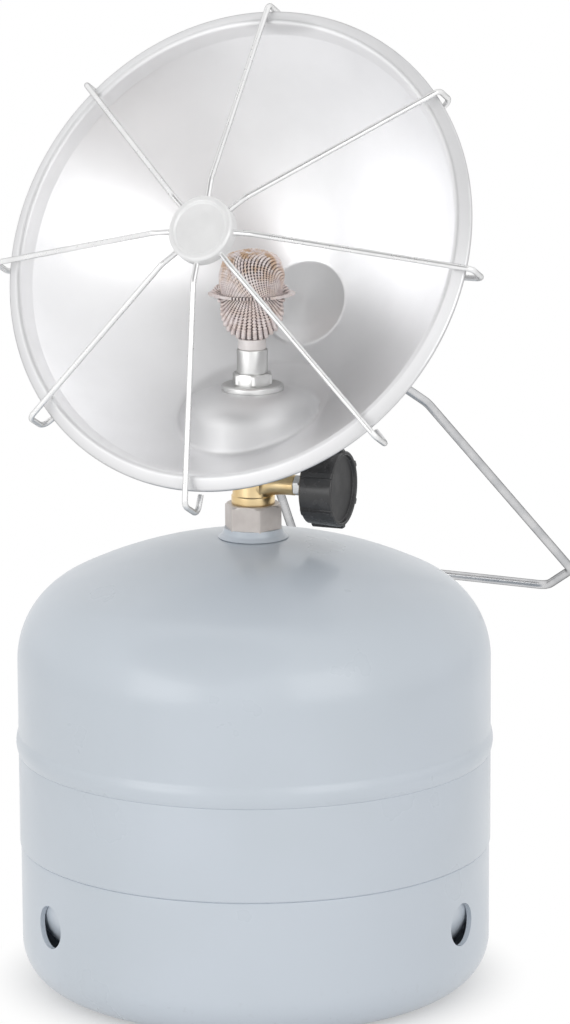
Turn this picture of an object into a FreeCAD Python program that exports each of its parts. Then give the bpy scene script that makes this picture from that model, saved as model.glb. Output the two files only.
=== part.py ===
import FreeCAD, Part
import math
import os
from types import SimpleNamespace

import Sketcher

DOC = FreeCAD.newDocument("outdoor_gas_heater")
SHEET = DOC.addObject("Spreadsheet::Sheet", "dims")
Vector = FreeCAD.Vector
Rotation = FreeCAD.Rotation
Placement = FreeCAD.Placement

# Driving sizes: lengths in millimetres, angles in degrees.
SIZES = {
    # Clearances shared by every fit
    "seat_gap": 0.3,
    "running_gap": 0.05,
    "wire_hole_gap": 0.15,
    # Gas bottle
    "bottle_dia": 203.0,
    "shell_wall": 2.0,
    "dome_start": 142.5,
    "dome_rise": 53.0,
    "dome_knuckle": 38.0,
    "seam_height": 107.0,
    "seam_band": 9.0,
    "seam_bulge": 1.0,
    "lap_length": 10.0,
    "head_start": 45.0,
    "head_drop": 35.0,
    "head_knuckle": 28.0,
    # Foot ring
    "foot_top": 62.0,
    "foot_step": 0.5,
    "foot_wall": 2.2,
    "foot_corner": 20.0,
    "foot_contact": 5.0,
    "drain_dia": 18.5,
    "drain_height": 37.0,
    "drain_turn": 147.0,
    # Valve boss on the bottle
    "boss_top": 209.7,
    "boss_dia": 22.0,
    "boss_depth": 42.7,
    "boss_hex_height": 11.2,
    "boss_hex_flats": 22.0,
    "boss_hex_chamfer": 1.2,
    "boss_weld": 2.3,
    "boss_turn": 10.0,
    "spigot_dia": 16.0,
    "spigot_length": 15.5,
    "boss_seal_thick": 1.5,
    "ball_dia": 9.0,
    "ball_seat_dia": 6.4,
    "ball_seat_thick": 3.0,
    "ball_push": 2.0,
    "ball_chamber_dia": 12.0,
    "boss_floor": 2.0,
    "boss_inlet_dia": 6.0,
    "spring_dia": 6.8,
    "spring_wire": 0.9,
    "spring_pitch": 2.5,
    # Valve
    "valve_turn": 5.0,
    "barrel_dia": 17.6,
    "barrel_height": 19.3,
    "barrel_ring_dia": 18.6,
    "barrel_ring_height": 3.5,
    "neck_dia": 15.0,
    "neck_height": 5.5,
    "inlet_pin_dia": 3.8,
    "inlet_bore_dia": 2.0,
    "arm_height": 9.1,
    "arm_dia": 8.8,
    "arm_length": 19.7,
    "orifice_dia": 1.6,
    "orifice_length": 1.4,
    "port_dia": 1.0,
    "port_reach": 2.3,
    "jet_dia": 6.0,
    "jet_depth": 6.5,
    "jet_head_dia": 8.4,
    "jet_head_height": 3.5,
    "jet_tip_height": 4.0,
    "jet_tip_dia": 3.0,
    "jet_bore_dia": 1.0,
    "gland_flats": 8.0,
    "gland_length": 2.9,
    "gland_turn": 8.0,
    "gland_seal_dia": 5.8,
    "gland_pocket_depth": 2.4,
    "spindle_dia": 3.9,
    "needle_start": 1.0,
    "needle_length": 3.0,
    # Knob, lengths measured along the arm from the bottle axis
    "knob_back": 26.7,
    "knob_front": 41.6,
    "knob_dia": 34.2,
    "knob_waist_dia": 32.4,
    "knob_heel_dia": 31.0,
    "knob_rib_width": 2.4,
    "knob_boss_start": 23.2,
    "knob_boss_dia": 9.0,
    "knob_hollow_dia": 25.2,
    "knob_floor": 2.9,
    "knob_face_thick": 1.2,
    "knob_turn": 60.0,
    "knob_ring_dia": 29.0,
    "knob_recess": 1.6,
    "knob_edge": 0.9,
    "knob_rib_inset": 0.4,
    # Mixing tube
    "tube_dia": 10.0,
    "tube_wall": 1.4,
    "tube_cup_height": 16.0,
    "tube_cup_wall": 1.5,
    "tube_cone_height": 6.0,
    "tube_shoulder_dia": 22.0,
    "tube_shoulder_thick": 2.0,
    "tube_above_seat": 23.5,
    "air_hole_dia": 6.5,
    "air_hole_height": 9.0,
    # Reflector, measured from the plane of its rim
    "dish_y": -14.1,
    "dish_z": 321.7,
    "dish_tilt": 27.5,
    "dish_sheet": 0.9,
    "rim_dia": 212.2,
    "bead_radius": 1.3,
    "lip_inset": 5.1,
    "lip_round": 2.0,
    "lip_height": 2.8,
    "roll_run": 3.0,
    "roll_drop": 1.9,
    "step_run": 2.2,
    "step_depth": 5.4,
    "bowl_depth": 72.6,
    "bowl_flat_dia": 38.0,
    "bowl_arc": 161.0,
    # Raised burner seat pressed into the bowl
    "burner_seat": 258.9,
    "bump_flat_dia": 30.0,
    "bump_round": 22.0,
    "bump_dia": 62.0,
    "bump_draft": 1.5,
    "bump_height": 30.9,
    # Burner
    "washer_dia": 26.5,
    "washer_thick": 2.6,
    "washer_crown": 0.5,
    "washer_slope": 0.9,
    "burner_nut_flats": 15.8,
    "burner_nut_height": 4.9,
    "burner_nut_turn": 7.0,
    "sleeve_dia": 13.1,
    "sleeve_length": 10.3,
    "collar_dia": 11.8,
    "collar_length": 4.5,
    "gauze_height": 38.1,
    "gauze_seam": 19.1,
    "gauze_wall": 0.8,
    "gauze_lip": 0.8,
    "gauze_lower_dia": 27.3,
    "gauze_upper_dia": 28.5,
    "gauze_lower_round": 10.0,
    "gauze_lower_rise": 9.5,
    "gauze_upper_round": 11.0,
    "gauze_upper_drop": 10.0,
    "gauze_crown_dia": 9.0,
    "gauze_dent": 0.9,
    "gauze_ear": 18.5,
    "gauze_lip_depth": 14.8,
    "gauze_turn": 26.65,
    # Wire guard
    "guard_wire": 2.4,
    "guard_drop": 2.6,
    "guard_side": 0.9,
    "hub_height": 30.8,
    "hub_dia": 28.8,
    "hub_disc_dia": 22.2,
    "hub_disc_thick": 1.2,
    "hub_ring_height": 0.9,
    "hub_skirt_wall": 1.2,
    "hub_plate_thick": 1.2,
    "guard_wire_start": 9.0,
    "guard_bend_radius": 22.5,
    "hook_gap": 1.0,
    "hook_front": 2.2,
    "hook_back": 10.4,
    "hook_grip": 3.7,
    "guard_bend": 6.0,
    "hook_bend": 3.5,
    # Stand and its bracket
    "stand_wire_dia": 4.0,
    "stand_drop": 42.8,
    "hinge_behind": 5.1,
    "hinge_below": 15.7,
    "pintle_start": 9.0,
    "leg_start": 18.3,
    "knee_half": 44.6,
    "knee_reach": 42.7,
    "heel_half": 69.6,
    "heel_reach": 179.5,
    "bar_half": 52.0,
    "bar_reach": 197.0,
    "leg_bend": 5.0,
    "knee_bend": 15.0,
    "heel_bend": 6.0,
    "bar_bend": 10.0,
    "bracket_sheet": 1.2,
    "bracket_width": 32.0,
    "bracket_top": 9.0,
    "ear_inside": 24.0,
    "ear_width": 8.4,
    "lip_width": 50.0,
    "lip_length": 11.0,
}

# Directions of the guard wires round the rim, from the right going up.
SPOKE_TURNS = {
    "spoke_1_turn": 0.6,
    "spoke_2_turn": 44.1,
    "spoke_3_turn": 93.8,
    "spoke_4_turn": 140.9,
    "spoke_5_turn": 186.7,
    "spoke_6_turn": 225.9,
    "spoke_7_turn": 272.0,
    "spoke_8_turn": 318.6,
}


class Size:
    """A number together with the text that works it out again from the sheet."""

    def __init__(self, value, text):
        self.value = float(value)
        self.text = text

    def __add__(self, other):
        other = as_size(other)
        return Size(self.value + other.value, f"({self.text} + {other.text})")

    def __sub__(self, other):
        other = as_size(other)
        return Size(self.value - other.value, f"({self.text} - {other.text})")

    def __mul__(self, other):
        other = as_size(other)
        return Size(self.value * other.value, f"{self.text} * {other.text}")

    def __truediv__(self, other):
        other = as_size(other)
        return Size(self.value / other.value, f"({self.text}) / ({other.text})")

    def __neg__(self):
        return Size(-self.value, f"(0 - {self.text})")

    def __float__(self):
        return self.value


def as_size(number):
    """Plain numbers become sizes, sizes stay as they are."""
    if isinstance(number, Size):
        return number
    return Size(number, f"{float(number):.6f}")


def root(size):
    """Square root of a size."""
    return Size(math.sqrt(size.value), f"sqrt({size.text})")


def fill_sheet():
    """Write every driving size to the sheet and hand back the sizes by name."""
    driving = {**SIZES, **SPOKE_TURNS}
    for row, (name, value) in enumerate(driving.items(), start=1):
        SHEET.set(f"A{row}", name)
        SHEET.set(f"B{row}", str(value))
        SHEET.setAlias(f"B{row}", name)
    DOC.recompute()
    return SimpleNamespace(**{name: Size(SHEET.get(name), f"dims.{name}") for name in driving})


d = fill_sheet()
PARTS = []


def keep(item, label):
    """Name a finished piece and put it on the list to be written."""
    item.Label = label
    PARTS.append(item)
    return item


def origin_part(body, role):
    """One of the body's own planes or axes."""
    return [part for part in body.Origin.OriginFeatures if part.Role == role][0]


def new_body(name):
    return DOC.addObject("PartDesign::Body", name)


def new_sketch(body, plane, shift=None):
    """Sketch on one of the body's planes, moved along the plane's normal by shift."""
    sketch = body.newObject("Sketcher::SketchObject", body.Name + "_sketch")
    sketch.AttachmentSupport = [(origin_part(body, plane), "")]
    sketch.MapMode = "FlatFace"
    if shift is not None:
        sketch.AttachmentOffset = Placement(Vector(0, 0, float(shift)), Rotation())
        sketch.setExpression("AttachmentOffset.Base.z", shift.text)
    return sketch


def bind(sketch, constraint, size):
    """Add a constraint that follows a size."""
    index = sketch.addConstraint(constraint)
    sketch.setExpression(f"Constraints[{index}]", size.text)


def hold_point(sketch, edge, end, x, y):
    """Fix an edge's end by its two distances from the sketch's axes."""
    for kind, axis, size in (("DistanceX", -2, as_size(x)), ("DistanceY", -1, as_size(y))):
        if size.value == 0:
            sketch.addConstraint(Sketcher.Constraint("PointOnObject", edge, end, axis))
        else:
            bind(sketch, Sketcher.Constraint(kind, -1, 1, edge, end, size.value), size)


def arc_between(start, finish, radius, turn):
    """The shorter arc from start to finish, turn +1 bending left and -1 bending right."""
    chord = finish - start
    half = chord.Length / 2
    rise = math.sqrt(max(radius * radius - half * half, 0.0))
    left = Vector(-chord.y, chord.x, 0) / chord.Length
    centre = (start + finish) * 0.5 + left * (rise * turn)
    first, last = (start, finish) if turn > 0 else (finish, start)
    angle_1 = math.atan2(first.y - centre.y, first.x - centre.x)
    angle_2 = math.atan2(last.y - centre.y, last.x - centre.x)
    if angle_2 < angle_1:
        angle_2 += 2 * math.pi
    return Part.ArcOfCircle(Part.Circle(centre, Vector(0, 0, 1), radius), angle_1, angle_2)


def draw_loop(sketch, corners):
    """Draw a closed loop. A corner (x, y) starts a line, (x, y, radius, turn) starts an arc."""
    first = sketch.GeometryCount
    points = [Vector(float(corner[0]), float(corner[1]), 0) for corner in corners]
    ends = []
    for index, corner in enumerate(corners):
        start = points[index]
        finish = points[(index + 1) % len(points)]
        if len(corner) == 2:
            sketch.addGeometry(Part.LineSegment(start, finish))
            ends.append((1, 2))
        else:
            sketch.addGeometry(arc_between(start, finish, float(corner[2]), corner[3]))
            ends.append((1, 2) if corner[3] > 0 else (2, 1))
    for index, corner in enumerate(corners):
        edge = first + index
        before = first + (index - 1) % len(corners)
        start_end = ends[index][0]
        sketch.addConstraint(Sketcher.Constraint("Coincident", before, ends[index - 1][1], edge, start_end))
        hold_point(sketch, edge, start_end, corner[0], corner[1])
        if len(corner) == 4:
            bind(sketch, Sketcher.Constraint("Radius", edge, float(corner[2])), as_size(corner[2]))


def draw_circle(sketch, x, y, radius):
    """Draw a circle about a held centre."""
    centre = Vector(float(x), float(y), 0)
    edge = sketch.addGeometry(Part.Circle(centre, Vector(0, 0, 1), float(radius)))
    hold_point(sketch, edge, 3, x, y)
    bind(sketch, Sketcher.Constraint("Radius", edge, float(radius)), radius)


def turned(name, corners):
    """Body turned about its own upright axis from corners given as radius and height."""
    body = new_body(name)
    sketch = new_sketch(body, "XZ_Plane")
    draw_loop(sketch, corners)
    turn = body.newObject("PartDesign::Revolution", name + "_turn")
    turn.Profile = sketch
    turn.ReferenceAxis = (sketch, ["V_Axis"])
    turn.Angle = 360
    DOC.recompute()
    return body


def pad(body, sketch, length, both_sides=False, backward=False):
    """Raise a sketch by a length."""
    feature = body.newObject("PartDesign::Pad", body.Name + "_pad")
    feature.Profile = sketch
    feature.SideType = "Symmetric" if both_sides else "One side"
    feature.Reversed = backward
    feature.setExpression("Length", length.text)
    DOC.recompute()
    return feature


def pocket(body, sketch, length, both_sides=False, backward=False):
    """Cut a sketch into the body, and make sure that it takes material away."""
    before = body.Shape.Volume
    feature = body.newObject("PartDesign::Pocket", body.Name + "_pocket")
    feature.Profile = sketch
    feature.SideType = "Symmetric" if both_sides else "One side"
    feature.Reversed = backward
    feature.setExpression("Length", length.text)
    DOC.recompute()
    if body.Shape.Volume >= before - 1e-6:
        raise RuntimeError(f"{body.Name}: a pocket cuts nothing")
    return feature


def pattern(body, feature, count):
    """Repeat a cut evenly round the body's upright axis."""
    around = body.newObject("PartDesign::PolarPattern", body.Name + "_pattern")
    around.Originals = [feature]
    around.Axis = (origin_part(body, "Z_Axis"), [""])
    around.Angle = 360
    around.Occurrences = count
    body.Tip = around
    DOC.recompute()


def cylinder(name, radius, height, base_z):
    """Upright cylinder on the bottle axis."""
    item = DOC.addObject("Part::Cylinder", name)
    item.setExpression("Radius", radius.text)
    item.setExpression("Height", height.text)
    item.setExpression("Placement.Base.z", base_z.text)
    return item


def cut(name, base, tool):
    item = DOC.addObject("Part::Cut", name)
    item.Base = base
    item.Tool = tool
    DOC.recompute()
    return item


def hex_corners(flats):
    """Six corners of a hexagon, one of them on the x axis."""
    half = flats / 2
    long = flats / math.sqrt(3)
    short = long / 2
    return [(long, 0), (short, half), (-short, half), (-long, 0), (-short, -half), (short, -half)]


def hex_nut(name, flats, bore_radius, height):
    """Six-sided nut standing on its own origin, corners rounded off at the top."""
    body = new_body(name)
    sketch = new_sketch(body, "XY_Plane")
    draw_loop(sketch, hex_corners(flats))
    draw_circle(sketch, 0, 0, bore_radius)
    pad(body, sketch, height)
    rounding = new_sketch(body, "XZ_Plane")
    bevel_radius = flats / 2
    corner_radius = flats * 0.6
    bevel_drop = (corner_radius - bevel_radius) * 0.6
    draw_loop(rounding, [(bevel_radius, height), (corner_radius, height - bevel_drop), (corner_radius, height)])
    groove = body.newObject("PartDesign::Groove", name + "_bevel")
    groove.Profile = rounding
    groove.ReferenceAxis = (rounding, ["V_Axis"])
    groove.Angle = 360
    DOC.recompute()
    return body


def move(item, base=(0, 0, 0), turn=0.0):
    """Stand a piece on the bottle axis or beside it, turned about the upright."""
    item.Placement = Placement(Vector(*[float(value) for value in base]), Rotation(Vector(0, 0, 1), float(turn)))


# Gas bottle: two shells that overlap at the middle seam.
bottle_radius = d.bottle_dia / 2
inner_radius = bottle_radius - d.shell_wall
lap_edge = d.seam_height - d.seam_band / 2


def crown_radius(radius, knuckle, rise):
    """Radius of the broad crown that meets the knuckle without a crease."""
    side = radius - knuckle
    return (rise * rise + side * side - knuckle * knuckle) / ((rise - knuckle) * 2)


def head_join(radius, knuckle, rise, inset):
    """Where knuckle and crown meet, as radius and rise, on a face set in by inset."""
    crown = crown_radius(radius, knuckle, rise)
    share = (crown - inset) / (crown - knuckle)
    return (radius - knuckle) * share, rise - crown + (crown - rise) * share


dome_crown = crown_radius(bottle_radius, d.dome_knuckle, d.dome_rise)
dome_centre = d.dome_start + d.dome_rise - dome_crown


def dome_height(radius, inset):
    """Height of the bottle's crown at a radius, on a face set in by inset."""
    reach = dome_crown - inset
    return dome_centre + root(reach * reach - radius * radius)


def upper_shell():
    out_r, out_rise = head_join(bottle_radius, d.dome_knuckle, d.dome_rise, as_size(0))
    in_r, in_rise = head_join(bottle_radius, d.dome_knuckle, d.dome_rise, d.shell_wall)
    hole = d.boss_dia / 2 + d.seat_gap
    bulge_arc = (d.seam_band * d.seam_band / 4 + d.seam_bulge * d.seam_bulge) / (d.seam_bulge * 2)
    body = turned("bottle_upper_shell", [
        (inner_radius, lap_edge),
        (bottle_radius, lap_edge, bulge_arc, 1),
        (bottle_radius, lap_edge + d.seam_band),
        (bottle_radius, d.dome_start, d.dome_knuckle, 1),
        (out_r, d.dome_start + out_rise, dome_crown, 1),
        (hole, dome_height(hole, as_size(0))),
        (hole, dome_height(hole, d.shell_wall), dome_crown - d.shell_wall, -1),
        (in_r, d.dome_start + in_rise, d.dome_knuckle - d.shell_wall, -1),
        (inner_radius, d.dome_start),
    ])
    keep(body, "bottle_upper_shell")


foot_radius = bottle_radius - d.foot_step
head_radius = foot_radius - d.foot_wall - d.seat_gap


def lower_shell():
    crown = crown_radius(head_radius, d.head_knuckle, d.head_drop)
    out_r, out_drop = head_join(head_radius, d.head_knuckle, d.head_drop, as_size(0))
    in_r, in_drop = head_join(head_radius, d.head_knuckle, d.head_drop, d.shell_wall)
    neck = inner_radius - d.seat_gap
    bottom = d.head_start - d.head_drop
    wall = d.shell_wall
    body = turned("bottle_lower_shell", [
        (0, bottom, crown, 1),
        (out_r, d.head_start - out_drop, d.head_knuckle, 1),
        (head_radius, d.head_start),
        (head_radius, d.foot_top),
        (bottle_radius, d.foot_top),
        (bottle_radius, lap_edge),
        (neck, lap_edge),
        (neck, lap_edge + d.lap_length),
        (neck - wall, lap_edge + d.lap_length),
        (neck - wall, lap_edge - wall),
        (inner_radius, lap_edge - wall),
        (inner_radius, d.foot_top + wall),
        (head_radius - wall, d.foot_top + wall),
        (head_radius - wall, d.head_start, d.head_knuckle - wall, -1),
        (in_r, d.head_start - in_drop, crown - wall, -1),
        (0, bottom + wall),
    ])
    keep(body, "bottle_lower_shell")


def foot_ring():
    corner = foot_radius - d.foot_corner
    inside = foot_radius - d.foot_wall
    body = turned("bottle_foot_ring", [
        (corner - d.foot_contact, 0),
        (corner, 0, d.foot_corner, 1),
        (foot_radius, d.foot_corner),
        (foot_radius, d.foot_top),
        (inside, d.foot_top),
        (inside, d.foot_corner, d.foot_corner - d.foot_wall, -1),
        (corner, d.foot_wall),
        (corner - d.foot_contact, d.foot_wall),
    ])
    hole = new_sketch(body, "XZ_Plane")
    draw_circle(hole, 0, d.drain_height, d.drain_dia / 2)
    pattern(body, pocket(body, hole, d.bottle_dia), 3)
    move(body, turn=d.drain_turn)
    keep(body, "bottle_foot_ring")


# Boss of the bottle with its check valve.
spigot_radius = d.spigot_dia / 2
boss_ledge = d.boss_top - d.spigot_length - d.boss_seal_thick
ball_seat = boss_ledge - d.ball_seat_thick
boss_bottom = d.boss_top - d.boss_depth
ball_radius = d.ball_dia / 2
seat_radius = d.ball_seat_dia / 2
ball_height = ball_seat - root(ball_radius * ball_radius - seat_radius * seat_radius) - d.ball_push


def valve_boss():
    hex_radius = d.boss_hex_flats / math.sqrt(3)
    shank = d.boss_dia / 2
    weld_foot = dome_height(shank + d.seat_gap, as_size(0)) + d.seat_gap
    bore = spigot_radius + d.running_gap
    body = turned("bottle_valve_boss", [
        (d.boss_inlet_dia / 2, boss_bottom),
        (shank, boss_bottom),
        (shank, weld_foot),
        (hex_radius + d.boss_weld, weld_foot),
        (hex_radius, d.boss_top - d.boss_hex_height),
        (hex_radius, d.boss_top - d.boss_hex_chamfer),
        (hex_radius - d.boss_hex_chamfer, d.boss_top),
        (bore, d.boss_top),
        (bore, boss_ledge),
        (seat_radius, boss_ledge),
        (seat_radius, ball_seat),
        (d.ball_chamber_dia / 2, ball_seat),
        (d.ball_chamber_dia / 2, boss_bottom + d.boss_floor),
        (d.boss_inlet_dia / 2, boss_bottom + d.boss_floor),
    ])
    flats = new_sketch(body, "XY_Plane", d.boss_top)
    draw_loop(flats, hex_corners(d.boss_hex_flats))
    draw_circle(flats, 0, 0, d.boss_hex_flats)
    pocket(body, flats, d.boss_hex_height)
    move(body, turn=d.boss_turn)
    keep(body, "bottle_valve_boss")


def check_valve():
    seal = turned("bottle_boss_seal", [
        (seat_radius, boss_ledge),
        (spigot_radius - d.seat_gap, boss_ledge),
        (spigot_radius - d.seat_gap, boss_ledge + d.boss_seal_thick),
        (seat_radius, boss_ledge + d.boss_seal_thick),
    ])
    keep(seal, "bottle_boss_seal")
    ball = DOC.addObject("Part::Sphere", "bottle_check_ball")
    ball.setExpression("Radius", ball_radius.text)
    ball.setExpression("Placement.Base.z", ball_height.text)
    keep(ball, "bottle_check_ball")
    # The coil stands on the boss floor and ends just under the ball.
    coil_radius = d.spring_dia / 2
    wire = d.spring_wire / 2
    foot = boss_bottom + d.boss_floor + wire + d.running_gap
    reach = ball_radius + wire + d.seat_gap
    top = ball_height - root(reach * reach - coil_radius * coil_radius)
    body = new_body("bottle_check_spring")
    section = new_sketch(body, "XZ_Plane")
    draw_circle(section, coil_radius, foot, wire)
    coil = body.newObject("PartDesign::AdditiveHelix", "spring_coil")
    coil.Profile = section
    coil.ReferenceAxis = (section, ["V_Axis"])
    coil.Mode = 0
    coil.setExpression("Pitch", d.spring_pitch.text)
    coil.setExpression("Height", (top - foot).text)
    DOC.recompute()
    keep(body, "bottle_check_spring")


# Valve: its arm points along +X before the whole valve is turned.
spigot_bottom = d.boss_top - d.spigot_length
pin_tip = ball_height + ball_radius + d.seat_gap
arm_axis = d.boss_top + d.arm_height
barrel_top = d.boss_top + d.barrel_height
neck_top = barrel_top + d.neck_height
jet_floor = neck_top - d.jet_depth
spindle_bore = d.spindle_dia / 2 + d.running_gap


def valve_body():
    barrel = d.barrel_dia / 2
    ring = d.barrel_ring_dia / 2
    bore = d.inlet_bore_dia / 2
    pin = d.inlet_pin_dia / 2
    socket = d.jet_dia / 2
    ring_top = d.boss_top + d.barrel_ring_height
    body = turned("valve_body", [
        (bore, pin_tip),
        (pin, pin_tip),
        (pin, spigot_bottom),
        (spigot_radius, spigot_bottom),
        (spigot_radius, d.boss_top),
        (ring, d.boss_top),
        (ring, ring_top),
        (barrel, ring_top + (ring - barrel)),
        (barrel, barrel_top),
        (d.neck_dia / 2, barrel_top),
        (d.neck_dia / 2, neck_top),
        (socket, neck_top),
        (socket, jet_floor),
        (0, jet_floor),
        (0, arm_axis),
        (bore, arm_axis),
    ])
    arm = new_sketch(body, "YZ_Plane")
    draw_circle(arm, 0, arm_axis, d.arm_dia / 2)
    pad(body, arm, d.arm_length)
    # The pad fills the inlet bore where it crosses, so the bore is opened again.
    inlet = new_sketch(body, "XY_Plane", pin_tip)
    draw_circle(inlet, 0, 0, bore)
    pocket(body, inlet, arm_axis - pin_tip, backward=True)
    for radius, start, length in (
        (d.orifice_dia / 2, as_size(0), d.orifice_length),
        (spindle_bore, d.orifice_length, d.arm_length - d.orifice_length),
        (d.gland_seal_dia / 2 + d.running_gap, d.arm_length - d.gland_pocket_depth, d.gland_pocket_depth),
    ):
        hole = new_sketch(body, "YZ_Plane", start)
        draw_circle(hole, 0, arm_axis, radius)
        pocket(body, hole, length, backward=True)
    port = new_sketch(body, "XY_Plane", arm_axis)
    draw_circle(port, d.port_reach, 0, d.port_dia / 2)
    pocket(body, port, jet_floor - arm_axis, backward=True)
    slot = new_sketch(body, "XZ_Plane")
    draw_circle(slot, 0, spigot_bottom - d.boss_seal_thick, bore)
    pocket(body, slot, d.inlet_pin_dia * 2, both_sides=True)
    move(body, turn=d.valve_turn)
    keep(body, "valve_body")


def along_arm(item, start=0.0, roll=0.0):
    """Lay an upright piece along the valve arm, rolled about the arm's own axis."""
    turn = Rotation(Vector(0, 0, 1), float(d.valve_turn))
    arm = turn.multVec(Vector(float(start), 0, 0)) + Vector(0, 0, float(arm_axis))
    item.Placement = Placement(arm, turn * Rotation(Vector(0, 1, 0), 90) * Rotation(Vector(0, 0, 1), roll))


def jet_nozzle():
    stem = d.jet_dia / 2 - d.running_gap
    head_top = neck_top + d.jet_head_height
    body = turned("jet_nozzle", [
        (d.jet_bore_dia / 2, jet_floor + d.seat_gap),
        (stem, jet_floor + d.seat_gap),
        (stem, neck_top),
        (d.jet_head_dia / 2, neck_top),
        (d.jet_head_dia / 2, head_top),
        (d.jet_tip_dia / 2, head_top + d.jet_tip_height),
        (d.jet_bore_dia / 2, head_top + d.jet_tip_height),
    ])
    keep(body, "jet_nozzle")


def gland():
    nut = hex_nut("gland_nut", d.gland_flats, spindle_bore, d.gland_length)
    along_arm(nut, start=d.arm_length, roll=float(d.gland_turn))
    keep(nut, "gland_nut")
    # The ring lies loose in its pocket, clear of the spindle it seals.
    seal = turned("gland_seal", [
        (spindle_bore, 0),
        (d.gland_seal_dia / 2 - d.seat_gap, 0),
        (d.gland_seal_dia / 2 - d.seat_gap, d.gland_pocket_depth - d.seat_gap),
        (spindle_bore, d.gland_pocket_depth - d.seat_gap),
    ])
    along_arm(seal, start=d.arm_length - d.gland_pocket_depth)
    keep(seal, "gland_seal")


knob_bore_end = d.knob_front - d.knob_recess - d.knob_face_thick


def spindle():
    shaft = d.spindle_dia / 2
    body = turned("spindle", [
        (0, d.needle_start),
        (d.orifice_dia / 4, d.needle_start),
        (shaft, d.needle_start + d.needle_length),
        (shaft, knob_bore_end - d.seat_gap),
        (0, knob_bore_end - d.seat_gap),
    ])
    along_arm(body)
    keep(body, "spindle")


def knob():
    rib = d.knob_dia / 2
    waist = d.knob_waist_dia / 2
    heel = d.knob_heel_dia / 2
    hollow = d.knob_hollow_dia / 2
    boss = d.knob_boss_dia / 2
    floor = d.knob_front - d.knob_recess - d.knob_floor
    face = d.knob_front - d.knob_recess
    ring = d.knob_ring_dia / 2
    body = turned("knob", [
        (spindle_bore, d.knob_boss_start),
        (boss, d.knob_boss_start),
        (boss, floor),
        (hollow, floor),
        (hollow, d.knob_back),
        (heel - d.knob_edge / 2, d.knob_back),
        (heel, d.knob_back + d.knob_edge / 2),
        (waist, d.knob_front - d.knob_edge),
        (waist - d.knob_edge, d.knob_front),
        (ring, d.knob_front),
        (ring - d.knob_recess / 2, face),
        (0, face),
        (0, knob_bore_end),
        (spindle_bore, knob_bore_end),
    ])
    side = d.knob_rib_width / 2
    start = d.knob_back + d.knob_rib_inset
    grip = new_sketch(body, "XY_Plane", start)
    draw_loop(grip, [
        (heel - side, -side),
        (rib - side / 2, -side),
        (rib, -side / 2),
        (rib, side / 2),
        (rib - side / 2, side),
        (heel - side, side),
    ])
    pattern(body, pad(body, grip, d.knob_front - d.knob_rib_inset - start), 6)
    along_arm(body, roll=float(d.knob_turn))
    keep(body, "knob")


# Mixing tube that carries the reflector and the burner.
bump_under = d.burner_seat - d.dish_sheet
tube_radius = d.tube_dia / 2


def mixing_tube():
    bore = tube_radius - d.tube_wall
    cup = d.neck_dia / 2 + d.running_gap
    cup_out = cup + d.tube_cup_wall
    cup_top = barrel_top + d.tube_cup_height
    cone_top = cup_top + d.tube_cone_height
    body = turned("mixing_tube", [
        (cup, barrel_top),
        (cup_out, barrel_top),
        (cup_out, cup_top),
        (tube_radius, cone_top),
        (tube_radius, bump_under - d.tube_shoulder_thick),
        (d.tube_shoulder_dia / 2, bump_under - d.tube_shoulder_thick),
        (d.tube_shoulder_dia / 2, bump_under),
        (tube_radius, bump_under),
        (tube_radius, d.burner_seat + d.tube_above_seat),
        (bore, d.burner_seat + d.tube_above_seat),
        (bore, cone_top),
        (cup, cup_top),
    ])
    hole = new_sketch(body, "XZ_Plane")
    draw_circle(hole, 0, barrel_top + d.air_hole_height, d.air_hole_dia / 2)
    pattern(body, pocket(body, hole, d.neck_dia), 4)
    keep(body, "mixing_tube")


# Burner stack on the raised seat.
stack_bore = tube_radius + d.seat_gap
washer_top = d.burner_seat + d.washer_thick
nut_top = washer_top + d.burner_nut_height
sleeve_top = nut_top + d.sleeve_length
gauze_base = sleeve_top + d.collar_length
gauze_seam = gauze_base + d.gauze_seam
gauze_top = gauze_base + d.gauze_height


def plain_ring(name, outside, bottom, top):
    body = turned(name, [(stack_bore, bottom), (outside, bottom), (outside, top), (stack_bore, top)])
    keep(body, name)


def burner_stack():
    edge = d.washer_dia / 2
    washer = turned("burner_washer", [
        (stack_bore, d.burner_seat),
        (edge, d.burner_seat),
        (edge, washer_top - d.washer_crown),
        (edge - d.washer_slope, washer_top),
        (stack_bore, washer_top),
    ])
    keep(washer, "burner_washer")
    nut = hex_nut("burner_nut", d.burner_nut_flats, tube_radius + d.running_gap, d.burner_nut_height)
    move(nut, (0, 0, washer_top), d.gauze_turn + d.burner_nut_turn - 90)
    keep(nut, "burner_nut")
    plain_ring("burner_sleeve", d.sleeve_dia / 2, nut_top, sleeve_top)
    plain_ring("gauze_collar", d.collar_dia / 2, sleeve_top, gauze_base)


def gauze_lip(body, bottom, inside):
    """Lens-shaped lip with a pointed ear at each side."""
    half = d.gauze_ear
    depth = d.gauze_lip_depth
    arc = (half * half + depth * depth) / (depth * 2)
    sketch = new_sketch(body, "XY_Plane", bottom)
    draw_loop(sketch, [(-half, 0, arc, 1), (half, 0, arc, 1)])
    draw_circle(sketch, 0, 0, inside)
    pad(body, sketch, d.gauze_lip)


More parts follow.
